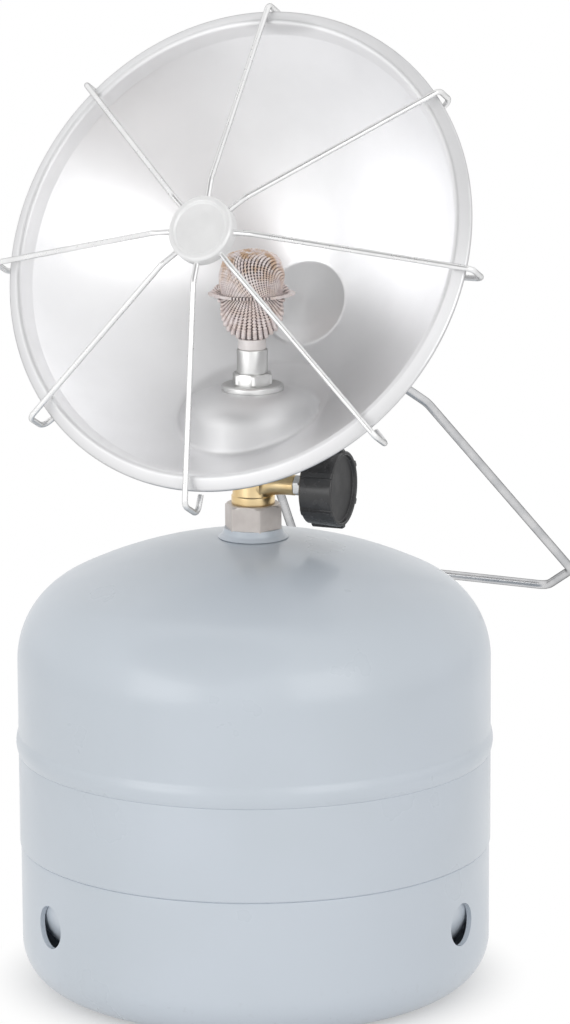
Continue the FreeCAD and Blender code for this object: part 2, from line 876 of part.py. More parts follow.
def gauze_halves():
    wall = d.gauze_wall
    low = d.gauze_lower_dia / 2
    foot = d.collar_dia / 2 + wall
    lower = turned("gauze_lower", [
        (stack_bore, gauze_base),
        (foot, gauze_base, d.gauze_lower_round, 1),
        (low, gauze_base + d.gauze_lower_rise),
        (low, gauze_seam),
        (low - wall, gauze_seam),
        (low - wall, gauze_base + d.gauze_lower_rise, d.gauze_lower_round - wall, -1),
        (foot, gauze_base + wall),
        (stack_bore, gauze_base + wall),
    ])
    gauze_lip(lower, gauze_seam - d.gauze_lip, low - wall)
    move(lower, turn=d.gauze_turn)
    keep(lower, "gauze_lower")
    high = d.gauze_upper_dia / 2
    crown = d.gauze_crown_dia / 2
    shoulder = gauze_top - d.gauze_upper_drop
    upper = turned("gauze_upper", [
        (high - wall, gauze_seam),
        (high, gauze_seam),
        (high, shoulder, d.gauze_upper_round, 1),
        (crown, gauze_top),
        (0, gauze_top - d.gauze_dent),
        (0, gauze_top - d.gauze_dent - wall),
        (crown, gauze_top - wall, d.gauze_upper_round - wall, -1),
        (high - wall, shoulder),
    ])
    gauze_lip(upper, gauze_seam, high - wall)
    move(upper, turn=d.gauze_turn)
    keep(upper, "gauze_upper")


# Reflector: turned about its own axis, then pressed up round the burner seat.
dish_turn = Rotation(Vector(1, 0, 0), 90 - float(d.dish_tilt))
DISH = Placement(Vector(0, float(d.dish_y), float(d.dish_z)), dish_turn)


def burner_punch(name, inset):
    """Solid that leaves the raised burner seat, set in by the sheet for its underside."""
    flat = d.bump_flat_dia / 2
    base = d.bump_dia / 2
    arc = d.bump_round - inset
    share = arc / d.bump_round
    run = base - flat
    drop = root(d.bump_round * d.bump_round - run * run)
    centre = d.burner_seat - d.bump_round
    foot = d.burner_seat - d.bump_height
    return turned(name, [
        (0, foot),
        (base + d.bump_draft - inset, foot),
        (flat + run * share, centre + drop * share, arc, 1),
        (flat, d.burner_seat - inset),
        (0, d.burner_seat - inset),
    ])


def reflector():
    sheet = d.dish_sheet
    bead = d.bead_radius
    rim = d.rim_dia / 2
    curl = rim - bead
    lip = rim - d.lip_inset
    crest = d.lip_height - d.lip_round
    flat = d.bowl_flat_dia / 2
    inner_bead = bead - sheet
    inner_lip = d.lip_round - sheet
    # Directions square to the wall inside the lip and to the roll outside it.
    wall = root(d.step_run * d.step_run + d.step_depth * d.step_depth)
    wall_out, wall_up = d.step_depth / wall, d.step_run / wall
    roll = root(d.roll_run * d.roll_run + d.roll_drop * d.roll_drop)
    roll_out, roll_up = d.roll_drop / roll, d.roll_run / roll
    # The roll runs straight from the lip to the bead and touches both.
    shrink = d.lip_round - bead
    along = (curl - lip - shrink * roll_out) / roll_up
    curl_height = crest - along * roll_out + shrink * roll_up
    wall_top = lip - d.lip_round * wall_out
    wall_top_height = crest + d.lip_round * wall_up
    bowl = wall_top - d.step_run
    bowl_height = wall_top_height - d.step_depth
    outer = turned("reflector_outside", [
        (0, wall_top_height),
        (wall_top, wall_top_height, d.lip_round, -1),
        (lip + d.lip_round * roll_out, crest + d.lip_round * roll_up),
        (curl + bead * roll_out, curl_height + bead * roll_up, bead, -1),
        (rim, curl_height, bead, -1),
        (curl, curl_height - bead),
        (curl, curl_height - inner_bead, inner_bead, 1),
        (rim - sheet, curl_height, inner_bead, 1),
        (curl + inner_bead * roll_out, curl_height + inner_bead * roll_up),
        (lip + inner_lip * roll_out, crest + inner_lip * roll_up, inner_lip, 1),
        (lip - inner_lip * wall_out, crest + inner_lip * wall_up),
        (bowl + sheet * wall_out, bowl_height - sheet * wall_up, d.bowl_arc + sheet, -1),
        (flat + sheet / 4, -d.bowl_depth - sheet),
        (0, -d.bowl_depth - sheet),
    ])
    outer.Placement = DISH
    room = d.lip_height * 3
    hollow = turned("reflector_hollow", [
        (0, -d.bowl_depth),
        (flat, -d.bowl_depth, d.bowl_arc, 1),
        (bowl, bowl_height),
        (wall_top, wall_top_height),
        (wall_top, room),
        (0, room),
    ])
    hollow.Placement = DISH
    DOC.recompute()
    shell = cut("bowl_outside", outer, burner_punch("seat_underside", sheet))
    room_left = cut("bowl_inside", hollow, burner_punch("seat_top", as_size(0)))
    pressed = cut("pressed_bowl", shell, room_left)
    hole = cylinder("burner_hole", stack_bore, d.bump_round, d.burner_seat - d.bump_round / 2)
    keep(cut("reflector", pressed, hole), "reflector")


# Wire guard, built in the reflector's own directions about the guard's centre.
GUARD = DISH * Placement(Vector(-float(d.guard_side), -float(d.guard_drop), 0), Rotation())
wire_radius = d.guard_wire / 2
# The guard hangs a little low, so its hooks clear the rim by the drop and a gap.
hook_reach = d.rim_dia / 2 + d.guard_drop + wire_radius + d.hook_gap
hook_end = d.rim_dia / 2 - d.hook_grip
SPOKES = [getattr(d, name) for name in SPOKE_TURNS]


def bent_path(points, bends):
    """One path through the points, each corner between them rounded by its bend."""
    edges = []
    start = points[0]
    for before, corner, after, bend in zip(points, points[1:], points[2:], bends):
        into = (corner - before).normalize()
        away = (after - corner).normalize()
        turn = into.getAngle(away)
        reach = bend * math.tan(turn / 2)
        bend_in = corner - into * reach
        bend_out = corner + away * reach
        inward = (away - into).normalize()
        middle = corner + inward * (bend / math.cos(turn / 2) - bend)
        edges.append(Part.LineSegment(start, bend_in).toShape())
        edges.append(Part.Arc(bend_in, middle, bend_out).toShape())
        start = bend_out
    edges.append(Part.LineSegment(start, points[-1]).toShape())
    return Part.Wire(edges)


def bent_wire(name, points, bends, radius, placement):
    """Round wire bent along a path, then put in place."""
    path = bent_path(points, bends)
    section = Part.Wire(Part.makeCircle(radius, points[0], points[1] - points[0]))
    item = DOC.addObject("Part::Feature", name)
    item.Shape = path.makePipeShell([section], True, False)
    item.Placement = placement
    keep(item, name)


def guard_wires():
    points = [
        Vector(float(d.guard_wire_start), 0, float(d.hub_height)),
        Vector(float(d.guard_bend_radius), 0, float(d.hub_height)),
        Vector(float(hook_reach), 0, float(d.hook_front)),
        Vector(float(hook_reach), 0, -float(d.hook_back)),
        Vector(float(hook_end), 0, -float(d.hook_back)),
    ]
    bends = [float(d.guard_bend), float(d.hook_bend), float(d.hook_bend)]
    for number, turn in enumerate(SPOKES, start=1):
        placement = GUARD * Placement(Vector(), Rotation(Vector(0, 0, 1), float(turn)))
        bent_wire(f"guard_wire_{number}", points, bends, float(wire_radius), placement)


def guard_hub():
    outside = d.hub_dia / 2
    inside = outside - d.hub_skirt_wall
    clamp = wire_radius + d.seat_gap
    wire_hole = wire_radius + d.wire_hole_gap
    disc_back = d.hub_height + clamp
    disc_front = disc_back + d.hub_disc_thick
    plate_front = d.hub_height - clamp
    plate_back = plate_front - d.hub_plate_thick
    cup = turned("hub_cup_blank", [
        (0, disc_back),
        (inside, disc_back),
        (inside, plate_back),
        (outside, plate_back),
        (outside, disc_front),
        (outside - d.hub_ring_height, disc_front + d.hub_ring_height),
        (d.hub_disc_dia / 2 + d.hub_ring_height, disc_front + d.hub_ring_height),
        (d.hub_disc_dia / 2, disc_front),
        (0, disc_front),
    ])
    cup.Placement = GUARD
    drills = []
    for number, turn in enumerate(SPOKES, start=1):
        drill = DOC.addObject("Part::Cylinder", f"hub_drill_{number}")
        drill.setExpression("Radius", wire_hole.text)
        drill.setExpression("Height", d.hub_dia.text)
        lie = Placement(Vector(0, 0, float(d.hub_height)), Rotation(Vector(0, 0, 1), float(turn)))
        drill.Placement = GUARD * lie * Placement(Vector(), Rotation(Vector(0, 1, 0), 90))
        drills.append(drill)
    fan = DOC.addObject("Part::MultiFuse", "hub_drills")
    fan.Shapes = drills
    DOC.recompute()
    keep(cut("guard_hub_cup", cup, fan), "guard_hub_cup")
    plate_radius = inside - d.seat_gap
    plate = turned("guard_hub_plate", [
        (0, plate_back),
        (plate_radius, plate_back),
        (plate_radius, plate_front),
        (0, plate_front),
    ])
    plate.Placement = GUARD
    keep(plate, "guard_hub_plate")


# Hinge of the stand, behind the flat centre of the bowl.
bowl_back = d.bowl_depth + d.dish_sheet
hinge_depth = bowl_back + d.hinge_behind
HINGE = DISH.multVec(Vector(0, -float(d.hinge_below), -float(hinge_depth)))


def stand_wire():
    half = [
        (d.pintle_start, as_size(0)),
        (d.leg_start, as_size(0)),
        (d.knee_half, d.knee_reach),
        (d.heel_half, d.heel_reach),
        (d.bar_half, d.bar_reach),
    ]
    right = [Vector(float(x), float(reach), 0) for x, reach in half]
    left = [Vector(-point.x, point.y, 0) for point in reversed(right)]
    bends = [float(bend) for bend in (d.leg_bend, d.knee_bend, d.heel_bend, d.bar_bend)]
    placement = Placement(HINGE, Rotation(Vector(1, 0, 0), -float(d.stand_drop)))
    bent_wire("stand_wire", right + left, bends + bends[::-1], float(d.stand_wire_dia) / 2, placement)


def stand_bracket():
    """Channel with two ears, and a lip below that the resting stand lies on."""
    sheet = d.bracket_sheet
    pin = d.stand_wire_dia / 2
    plate_back = bowl_back + sheet
    # The lip slopes with the stand, which lies this much below the dish axis.
    slope = math.radians(float(d.stand_drop - d.dish_tilt))
    fall = math.tan(slope)
    under = (pin + d.seat_gap) / math.cos(slope)
    lip_start = -d.hinge_below - under + d.hinge_behind * fall - sheet * fall
    lip_end = lip_start - d.lip_length * fall
    lip_thick = sheet / math.cos(slope)
    body = new_body("stand_bracket")
    plate = new_sketch(body, "XY_Plane", -bowl_back)
    half = d.bracket_width / 2
    low = lip_start - lip_thick
    draw_loop(plate, [(-half, low), (half, low), (half, d.bracket_top), (-half, d.bracket_top)])
    pad(body, plate, sheet, backward=True)
    ear = new_sketch(body, "YZ_Plane")
    ear_half = d.ear_width / 2
    ear_bend = [
        (-d.hinge_below + ear_half, -plate_back + sheet / 2),
        (-d.hinge_below - ear_half, -plate_back + sheet / 2),
        (-d.hinge_below - ear_half, -hinge_depth, ear_half, 1),
        (-d.hinge_below, -hinge_depth - ear_half, ear_half, 1),
        (-d.hinge_below + ear_half, -hinge_depth),
    ]
    draw_loop(ear, ear_bend)
    pad(body, ear, d.ear_inside + sheet * 2, both_sides=True)
    between = new_sketch(body, "YZ_Plane")
    reach = d.ear_width * 2
    draw_loop(between, [
        (-d.hinge_below - reach, -plate_back - reach),
        (-d.hinge_below + reach, -plate_back - reach),
        (-d.hinge_below + reach, -plate_back),
        (-d.hinge_below - reach, -plate_back),
    ])
    pocket(body, between, d.ear_inside, both_sides=True)
    pin_hole = new_sketch(body, "YZ_Plane")
    draw_circle(pin_hole, -d.hinge_below, -hinge_depth, pin + d.running_gap)
    pocket(body, pin_hole, d.bracket_width, both_sides=True)
    lip = new_sketch(body, "YZ_Plane")
    draw_loop(lip, [
        (lip_start, -plate_back + sheet / 2),
        (lip_start - lip_thick, -plate_back + sheet / 2),
        (lip_start - lip_thick, -plate_back),
        (lip_end - lip_thick, -plate_back - d.lip_length),
        (lip_end, -plate_back - d.lip_length),
        (lip_start, -plate_back),
    ])
    pad(body, lip, d.lip_width, both_sides=True)
    body.Placement = DISH
    keep(body, "stand_bracket")


def write_parts():
    """Check every object, then write one file for each piece."""
    DOC.recompute()
    for item in DOC.Objects:
        if "Invalid" in item.State or "Error" in item.State:
            raise RuntimeError(f"{item.Name}: {item.State}")
    os.makedirs("parts", exist_ok=True)
    for item in PARTS:
        shape = item.Shape
        if shape.isNull() or not shape.isValid() or len(shape.Solids) != 1:
            raise RuntimeError(f"{item.Label}: not one valid solid")
        shape.Solids[0].exportStep(os.path.join("parts", item.Label + ".step"))
        box = shape.BoundBox
        print(f"{item.Label}: {shape.Volume:.1f} mm3, z {box.ZMin:.2f} to {box.ZMax:.2f}")
    print(f"hinge at {HINGE.x:.4f} {HINGE.y:.4f} {HINGE.z:.4f}, arm at {float(arm_axis):.4f}")


upper_shell()
lower_shell()
foot_ring()
valve_boss()
check_valve()
valve_body()
jet_nozzle()
gland()
spindle()
knob()
mixing_tube()
burner_stack()
gauze_halves()
reflector()
guard_wires()
guard_hub()
stand_bracket()
stand_wire()
write_parts()
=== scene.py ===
"""Looks of an outdoor gas heater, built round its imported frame.

Lengths in the classes are millimetres and become metres when a mesh is made.
"""

import logging
import math
from collections.abc import Callable, Iterator, Sequence
from contextlib import contextmanager
from dataclasses import dataclass, field
from enum import Enum

import bmesh
import bpy
import numpy as np
from bpy.types import ID, GeometryNodeTree, Material, Mesh, Node, NodeSocket, NodeTree, Object
from mathutils import Matrix, Vector


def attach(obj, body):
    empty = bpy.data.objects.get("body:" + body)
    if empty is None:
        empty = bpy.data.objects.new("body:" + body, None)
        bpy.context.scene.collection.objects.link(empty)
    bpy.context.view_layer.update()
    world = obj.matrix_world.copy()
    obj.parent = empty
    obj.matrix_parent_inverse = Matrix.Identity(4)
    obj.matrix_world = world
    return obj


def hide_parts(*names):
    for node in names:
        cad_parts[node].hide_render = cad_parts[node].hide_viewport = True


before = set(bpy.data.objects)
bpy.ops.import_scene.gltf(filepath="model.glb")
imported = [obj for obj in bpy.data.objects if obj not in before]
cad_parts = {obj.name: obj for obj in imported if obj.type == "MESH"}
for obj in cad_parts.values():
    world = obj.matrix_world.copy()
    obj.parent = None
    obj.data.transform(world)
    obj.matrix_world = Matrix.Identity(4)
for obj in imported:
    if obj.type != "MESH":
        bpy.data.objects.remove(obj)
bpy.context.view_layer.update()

MM = 0.001
DISH_LEAN = 27.5
DISH_MIDDLE = (0.0, -14.1, 321.7)
ARM_TURN = 5.0
ARM_HEIGHT = 218.8
UPRIGHT = Matrix.Identity(4)
LOG = logging.getLogger("gas_heater")
Outline = list[tuple[float, float]]
Triple = tuple[float, float, float]
Tone = Triple
Limit = Callable[[np.ndarray, np.ndarray], np.ndarray]


class Slot(Enum):
    """Material slots of the record that the pieces take their finish from."""

    BOTTLE = "bottle_paint"
    BOSS = "boss_steel"
    RUBBER = "seal_rubber"
    STEEL = "bright_steel"
    BRASS = "brass"
    KNOB = "knob_plastic"
    PLATED = "plated_steel"
    COLLAR = "collar_steel"
    GAUZE = "gauze_steel"
    REFLECTOR = "reflector_alloy"
    GUARD = "guard_steel"
    STAND = "stand_zinc"


class Extra(Enum):
    """Finishes that only part of a piece has."""

    SHADE_LINING = "lining"
    CURL = "curl"
    BACK = "back"
    HUB = "hub"
    FACE = "face"


class Body(Enum):
    """Moving bodies of the frame."""

    HEATER = "heater"
    CONTROL = "control"
    STAND = "stand"


def tone(red: float, green: float, blue: float) -> Tone:
    """Scene-linear colour of a tone given in 0 to 255 display steps."""
    steps = [value / 255 for value in (red, green, blue)]
    return tuple(s / 12.92 if s <= 0.04045 else ((s + 0.055) / 1.055) ** 2.4 for s in steps)


# Materials


class NodeBench:
    """Builds a node tree a node at a time."""

    def __init__(self, tree: NodeTree) -> None:
        """Take the tree to build in."""
        self.tree = tree

    def feed(self, socket: NodeSocket, value: object) -> None:
        """Link an input to an output, or set its constant.

        Args:
            socket: Input to feed.
            value: Output or constant that it gets.
        """
        if isinstance(value, NodeSocket):
            self.tree.links.new(value, socket)
        elif socket.type == "RGBA":
            socket.default_value = (*value, 1.0)
        else:
            socket.default_value = value

    def add(self, kind: str, feeds: dict[str | int, object] | None = None, **settings: object) -> Node:
        """A new node with its settings made and its inputs fed.

        Args:
            kind: Node type.
            feeds: Outputs or constants by input name or number.
            settings: Properties of the node.

        Returns:
            The node.
        """
        node = self.tree.nodes.new(kind)
        for name, value in settings.items():
            setattr(node, name, value)
        for key, value in (feeds or {}).items():
            self.feed(node.inputs[key], value)
        return node


class ShaderBench(NodeBench):
    """Builds one procedural material."""

    def __init__(self, name: str) -> None:
        """Start a material with a bare principled surface.

        Args:
            name: Name of the material.
        """
        self.material = bpy.data.materials.new(name)
        self.material.use_nodes = True
        super().__init__(self.material.node_tree)
        self.surface = self.tree.nodes["Principled BSDF"]
        self.place = self.add("ShaderNodeTexCoord").outputs["Object"]

    def set(self, **inputs: object) -> None:
        """Feed inputs of the surface, underscores standing for spaces."""
        for name, value in inputs.items():
            self.feed(self.surface.inputs[name.replace("_", " ")], value)

    def noise(
        self, scale: float, detail: float = 2.0, stretch: Triple = (1.0, 1.0, 1.0), place: NodeSocket | None = None
    ) -> NodeSocket:
        """Soft noise over the surface.

        Args:
            scale: Blotches to a metre.
            detail: Octaves of finer noise.
            stretch: Scale along each axis.
            place: Coordinates to read, the object's own if left out.

        Returns:
            A value from 0 to 1.
        """
        mapping = self.add("ShaderNodeMapping", {"Scale": stretch, "Vector": place or self.place})
        feeds = {"Scale": scale, "Detail": detail, "Vector": mapping.outputs["Vector"]}
        return self.add("ShaderNodeTexNoise", feeds).outputs["Fac"]

    def span(self, source: NodeSocket, low: float, high: float, start: float = 0.0, end: float = 1.0) -> NodeSocket:
        """Source from low to high, mapped smoothly to start and end."""
        feeds = {"Value": source, "From Min": low, "From Max": high, "To Min": start, "To Max": end}
        return self.add("ShaderNodeMapRange", feeds, interpolation_type="SMOOTHSTEP").outputs["Result"]

    def maths(self, action: str, first: object, second: object) -> NodeSocket:
        """Two values worked together."""
        return self.add("ShaderNodeMath", {0: first, 1: second}, operation=action).outputs["Value"]

    def blend(self, share: NodeSocket, first: object, second: object) -> NodeSocket:
        """Colour that goes from first to second as share goes from 0 to 1, by the mix node's colour sockets."""
        return self.add("ShaderNodeMix", {0: share, 6: first, 7: second}, data_type="RGBA").outputs[2]

    def along(self, axis: str, place: NodeSocket | None = None) -> NodeSocket:
        """One coordinate of the surface, the object's own in metres if no other is given."""
        return self.add("ShaderNodeSeparateXYZ", {"Vector": place or self.place}).outputs[axis]

    def bump(self, height: NodeSocket, depth: float, strength: float = 1.0) -> None:
        """Raise the surface by a height of at most depth millimetres."""
        feeds = {"Strength": strength, "Distance": depth * MM, "Height": height}
        self.set(Normal=self.add("ShaderNodeBump", feeds).outputs["Normal"])


@dataclass(frozen=True)
class Enamel:
    """Sprayed semi-gloss enamel with orange peel and light scuffs near the floor."""

    name: str = "bottle_enamel"
    body: Tone = tone(204, 212, 220)
    cloud: Tone = tone(208, 216, 225)
    scuff: Tone = tone(200, 207, 215)

    def material(self) -> Material:
        """The enamel as a material.

        Returns:
            The new material.
        """
        bench = ShaderBench(self.name)
        base = bench.blend(bench.span(bench.noise(9.0, 3.0), 0.35, 0.65), self.body, self.cloud)
        rubbed = bench.span(bench.noise(260.0, 6.0), 0.6, 0.74)
        low = bench.span(bench.along("Z"), 0.004, 0.03, 1.0, 0.0)
        bench.set(
            Base_Color=bench.blend(bench.maths("MULTIPLY", rubbed, low), base, self.scuff),
            Roughness=bench.span(bench.noise(24.0, 4.0), 0.3, 0.7, 0.27, 0.36),
            Coat_Weight=0.25,
            Coat_Roughness=0.16,
        )
        bench.bump(bench.noise(620.0, 2.0), 0.02)
        return bench.material


@dataclass(frozen=True)
class SpunAlloy:
    """Bright aluminium sheet with fine lines round the bowl's axis, duller on the pressed seat and the step, with
    painted shade darkening the pressed seat and the rolled edge.
    """

    name: str = "spun_aluminium"
    bright: Tone = tone(251, 251, 252)
    dull: Tone = tone(246, 246, 247)
    # painted shade: darker tone for the rolled edge of the rim
    painted_curl_shade: Tone = tone(220, 220, 221)
    # painted shade: darker tone for the pressed burner seat
    pressed: Tone = tone(233, 233, 234)
    seat: tuple[float, float] = (31.0, 35.0)
    step: tuple[float, float] = (0.735, 0.765)
    edge: tuple[float, float] = (0.855, 0.89)

    def material(self) -> Material:
        """The spun sheet as a material.

        Returns:
            The new material.
        """
        bench = ShaderBench(self.name)
        rings = bench.add("ShaderNodeUVMap", uv_map="turning").outputs["UV"]
        lines = bench.noise(1.0, 3.0, (300.0, 2.0, 1.0), rings)
        outward = bench.along("X", rings)
        sheet = bench.blend(bench.span(bench.noise(26.0, 4.0), 0.35, 0.7), self.bright, self.dull)
        # painted shade towards the rolled edge
        sheet = bench.blend(bench.span(outward, *self.edge), sheet, self.painted_curl_shade)
        squares = [bench.maths("MULTIPLY", along, along) for along in (bench.along("X"), bench.along("Y"))]
        reach = bench.maths("POWER", bench.maths("ADD", *squares), 0.5)
        near, far = self.seat
        seat = bench.span(reach, near * MM, far * MM, 1.0, 0.0)
        dulled = bench.span(bench.maths("MAXIMUM", seat, bench.span(outward, *self.step)), 0.0, 1.0, 0.0, 0.2)
        tangent = bench.add("ShaderNodeTangent", direction_type="UV_MAP", uv_map="turning")
        bench.set(
            # painted shade over the pressed seat
            Base_Color=bench.blend(seat, sheet, self.pressed),
            Metallic=1.0,
            Roughness=bench.maths("ADD", bench.span(lines, 0.3, 0.7, 0.35, 0.39), dulled),
            Anisotropic=0.35,
            Tangent=tangent.outputs["Tangent"],
        )
        bench.bump(lines, 0.003, 0.4)
        return bench.material


@dataclass(frozen=True)
class Metal:
    """Plain or plated metal with a little unevenness, glance darkening it where it is seen edge on."""

    name: str
    bright: Tone
    dull: Tone
    smooth: float = 0.22
    rough: float = 0.34
    metallic: float = 1.0
    grain: float = 320.0
    depth: float = 0.01
    stretch: Triple = (1.0, 1.0, 1.0)
    glance: float = 1.0

    def material(self) -> Material:
        """The metal as a material.

        Returns:
            The new material.
        """
        bench = ShaderBench(self.name)
        grain = bench.noise(self.grain, 4.0, self.stretch)
        bench.set(
            Base_Color=bench.blend(bench.span(bench.noise(90.0, 5.0), 0.35, 0.68), self.bright, self.dull),
            Metallic=self.metallic,
            Roughness=bench.span(grain, 0.3, 0.7, self.smooth, self.rough),
            Specular_Tint=(self.glance,) * 3,
        )
        bench.bump(grain, self.depth)
        return bench.material


@dataclass(frozen=True)
class HeatedWire:
    """Gauze wire, greyed by use and tinted by heat towards its top."""

    name: str = "gauze_wire"
    fresh: Tone = tone(250, 240, 238)
    sooty: Tone = tone(232, 220, 219)
    tint: Tone = tone(210, 168, 120)
    hot_from: float = 301.0
    hot_to: float = 320.0

    def material(self) -> Material:
        """The gauze wire as a material.

        Returns:
            The new material.
        """
        bench = ShaderBench(self.name)
        patch = bench.span(bench.noise(210.0, 3.0), 0.42, 0.62)
        rise = bench.span(bench.along("Z"), self.hot_from * MM, self.hot_to * MM, 0.15, 0.8)
        soot = bench.span(bench.noise(320.0, 3.0), 0.4, 0.66)
        wire = bench.blend(soot, self.fresh, self.sooty)
        bench.set(
            Base_Color=bench.blend(bench.maths("MULTIPLY", patch, rise), wire, self.tint),
            Metallic=0.15,
            Roughness=bench.span(soot, 0.0, 1.0, 0.34, 0.5),
        )
        bench.bump(bench.noise(2600.0, 1.0), 0.02)
        return bench.material


@dataclass(frozen=True)
class Plastic:
    """Moulded plastic or rubber with a fine grain."""

    name: str
    body: Tone
    worn: Tone
    smooth: float = 0.42
    rough: float = 0.55
    gloss: float = 0.25
    grain: float = 1500.0
    depth: float = 0.03

    def material(self) -> Material:
        """The plastic as a material.

        Returns:
            The new material.
        """
        bench = ShaderBench(self.name)
        cloud = bench.noise(160.0, 4.0)
        bench.set(
            Base_Color=bench.blend(bench.span(cloud, 0.4, 0.75), self.body, self.worn),
            Roughness=bench.span(cloud, 0.3, 0.7, self.smooth, self.rough),
            Specular_IOR_Level=self.gloss,
        )
        bench.bump(bench.noise(self.grain, 2.0), self.depth)
        return bench.material


FINISHES: dict[Slot | Extra, Enamel | SpunAlloy | Metal | HeatedWire | Plastic] = {
    Slot.BOTTLE: Enamel(),
    Slot.BOSS: Metal("boss_plate", tone(222, 215, 210), tone(210, 202, 197), 0.36, 0.48, 0.3),
    Slot.RUBBER: Plastic("seal_rubber", tone(38, 38, 38), tone(50, 50, 50), 0.6, 0.75),
    Slot.STEEL: Metal("turned_steel", tone(214, 214, 216), tone(196, 196, 199)),
    Slot.BRASS: Metal(
        "machined_brass", tone(238, 214, 168), tone(226, 197, 146), 0.28, 0.36,
        grain=260.0, depth=0.002, stretch=(1.0, 1.0, 6.0),
    ),
    Slot.KNOB: Plastic("knob_plastic", tone(56, 56, 57), tone(66, 66, 67), 0.2, 0.3, 0.55),
    Slot.PLATED: Metal(
        "nickel_plate", tone(250, 250, 249), tone(243, 243, 242), 0.32, 0.38, 0.8, depth=0.002, glance=0.3
    ),
    Slot.COLLAR: Metal("collar_satin", tone(246, 241, 240), tone(240, 234, 232), 0.4, 0.5, 0.15),
    Slot.GAUZE: HeatedWire(),
    Slot.REFLECTOR: SpunAlloy(),
    Slot.GUARD: Metal(
        "guard_plate", tone(250, 250, 250), tone(243, 243, 243), 0.26, 0.34, 0.75, depth=0.002, glance=0.1
    ),
    Slot.STAND: Metal(
        "stand_zinc", tone(214, 214, 215), tone(198, 199, 201), 0.24, 0.34, grain=420.0, depth=0.004, glance=0.1
    ),
    # painted shade: dark sheet behind the knit and between the lip's stitches
    Extra.SHADE_LINING: Metal(
        "gauze_lining", tone(122, 110, 109), tone(100, 90, 89), 0.6, 0.75, 0.0, grain=900.0, depth=0.05
    ),
    # painted shade: darker metal for the rolled rim
    Extra.CURL: Metal("curled_rim", tone(226, 226, 227), tone(218, 218, 219), 0.3, 0.4, depth=0.003, glance=0.02),
    Extra.BACK: Metal("sheet_back", tone(222, 222, 223), tone(215, 215, 216), 0.42, 0.52, grain=420.0, depth=0.004),
    Extra.HUB: Metal("hub_plate", tone(246, 246, 246), tone(240, 240, 240), 0.36, 0.46, 0.2, depth=0.003),
    # painted shade: the knob's front face darker than its side, and more matt
    Extra.FACE: Plastic("knob_face", tone(50, 50, 51), tone(56, 56, 57), 0.42, 0.52, 0.22),
}


class FinishShelf:
    """Makes each finish once and hands it out."""

    def __init__(self) -> None:
        """Start with nothing made."""
        self.made: dict[Slot | Extra, Material] = {}

    def take(self, key: Slot | Extra) -> Material:
        """The material of a slot or of an extra finish.

        Args:
            key: Slot or extra finish.

        Returns:
            The material, made at the first call.
        """
        if key not in self.made:
            self.made[key] = FINISHES[key].material()
        return self.made[key]


SHELF = FinishShelf()


# Mesh helpers


def rotated(degrees: float, axis: str) -> Matrix:
    """A turn about an axis."""
    return Matrix.Rotation(math.radians(degrees), 4, axis)


def placed(name: str, data: ID) -> Object:
    """A new object in the scene.

    Args:
        name: Name of the object.
        data: Its mesh, light or camera.

    Returns:
        The object.
    """
    thing = bpy.data.objects.new(name, data)
    bpy.context.scene.collection.objects.link(thing)
    return thing


@contextmanager
def edited(mesh: Mesh) -> Iterator[bmesh.types.BMesh]:
    """A mesh opened for editing and written back at the end.

    Args:
        mesh: Mesh to edit.

    Yields:
        Its editable form.
    """
    edit = bmesh.new()
    edit.from_mesh(mesh)
    yield edit
    edit.to_mesh(mesh)
    edit.free()


def rounded(corners: Sequence[tuple[float, ...]], closed: bool = True, steps: int = 5) -> Outline:
    """Outline whose corners are rounded.

    Args:
        corners: Radius, height and, where the corner is rounded, its radius.
        closed: Whether the last corner goes on to the first.
        steps: Points on each rounding.

    Returns:
        The outline's points in order.
    """
    points: Outline = []
    count = len(corners)
    for index, corner in enumerate(corners):
        here = Vector(corner[:2])
        bend = corner[2] if len(corner) > 2 else 0.0
        if bend <= 0 or (not closed and index in (0, count - 1)):
            points.append((here.x, here.y))
            continue
        back = Vector(corners[index - 1][:2]) - here
        ahead = Vector(corners[(index + 1) % count][:2]) - here
        half = back.angle(ahead) / 2
        reach = min(bend / math.tan(half), 0.49 * back.length, 0.49 * ahead.length)
        bend = reach * math.tan(half)
        centre = here + (back.normalized() + ahead.normalized()).normalized() * (bend / math.sin(half))
        first = here + back.normalized() * reach - centre
        last = here + ahead.normalized() * reach - centre
        sweep = first.angle_signed(last)
        for step in range(steps + 1):
            spoke = Matrix.Rotation(-sweep * step / steps, 2) @ first
            points.append((centre.x + spoke.x, centre.y + spoke.y))
    return points


def arc(centre: tuple[float, float], radius: float, start: float, end: float, steps: int) -> Outline:
    """Points on a circle's arc, angles in degrees from the outward direction."""
    turns = np.radians(np.linspace(start, end, steps + 1))
    return [(centre[0] + radius * math.cos(t), centre[1] + radius * math.sin(t)) for t in turns]


def stood(place: Matrix, x: np.ndarray, y: np.ndarray, z: np.ndarray) -> np.ndarray:
    """Points in metres of coordinates in millimetres that stand at a place."""
    local = np.stack([x, y, z, np.ones_like(x)], axis=-1)
    return (local @ np.array(place).T)[..., :3] * MM


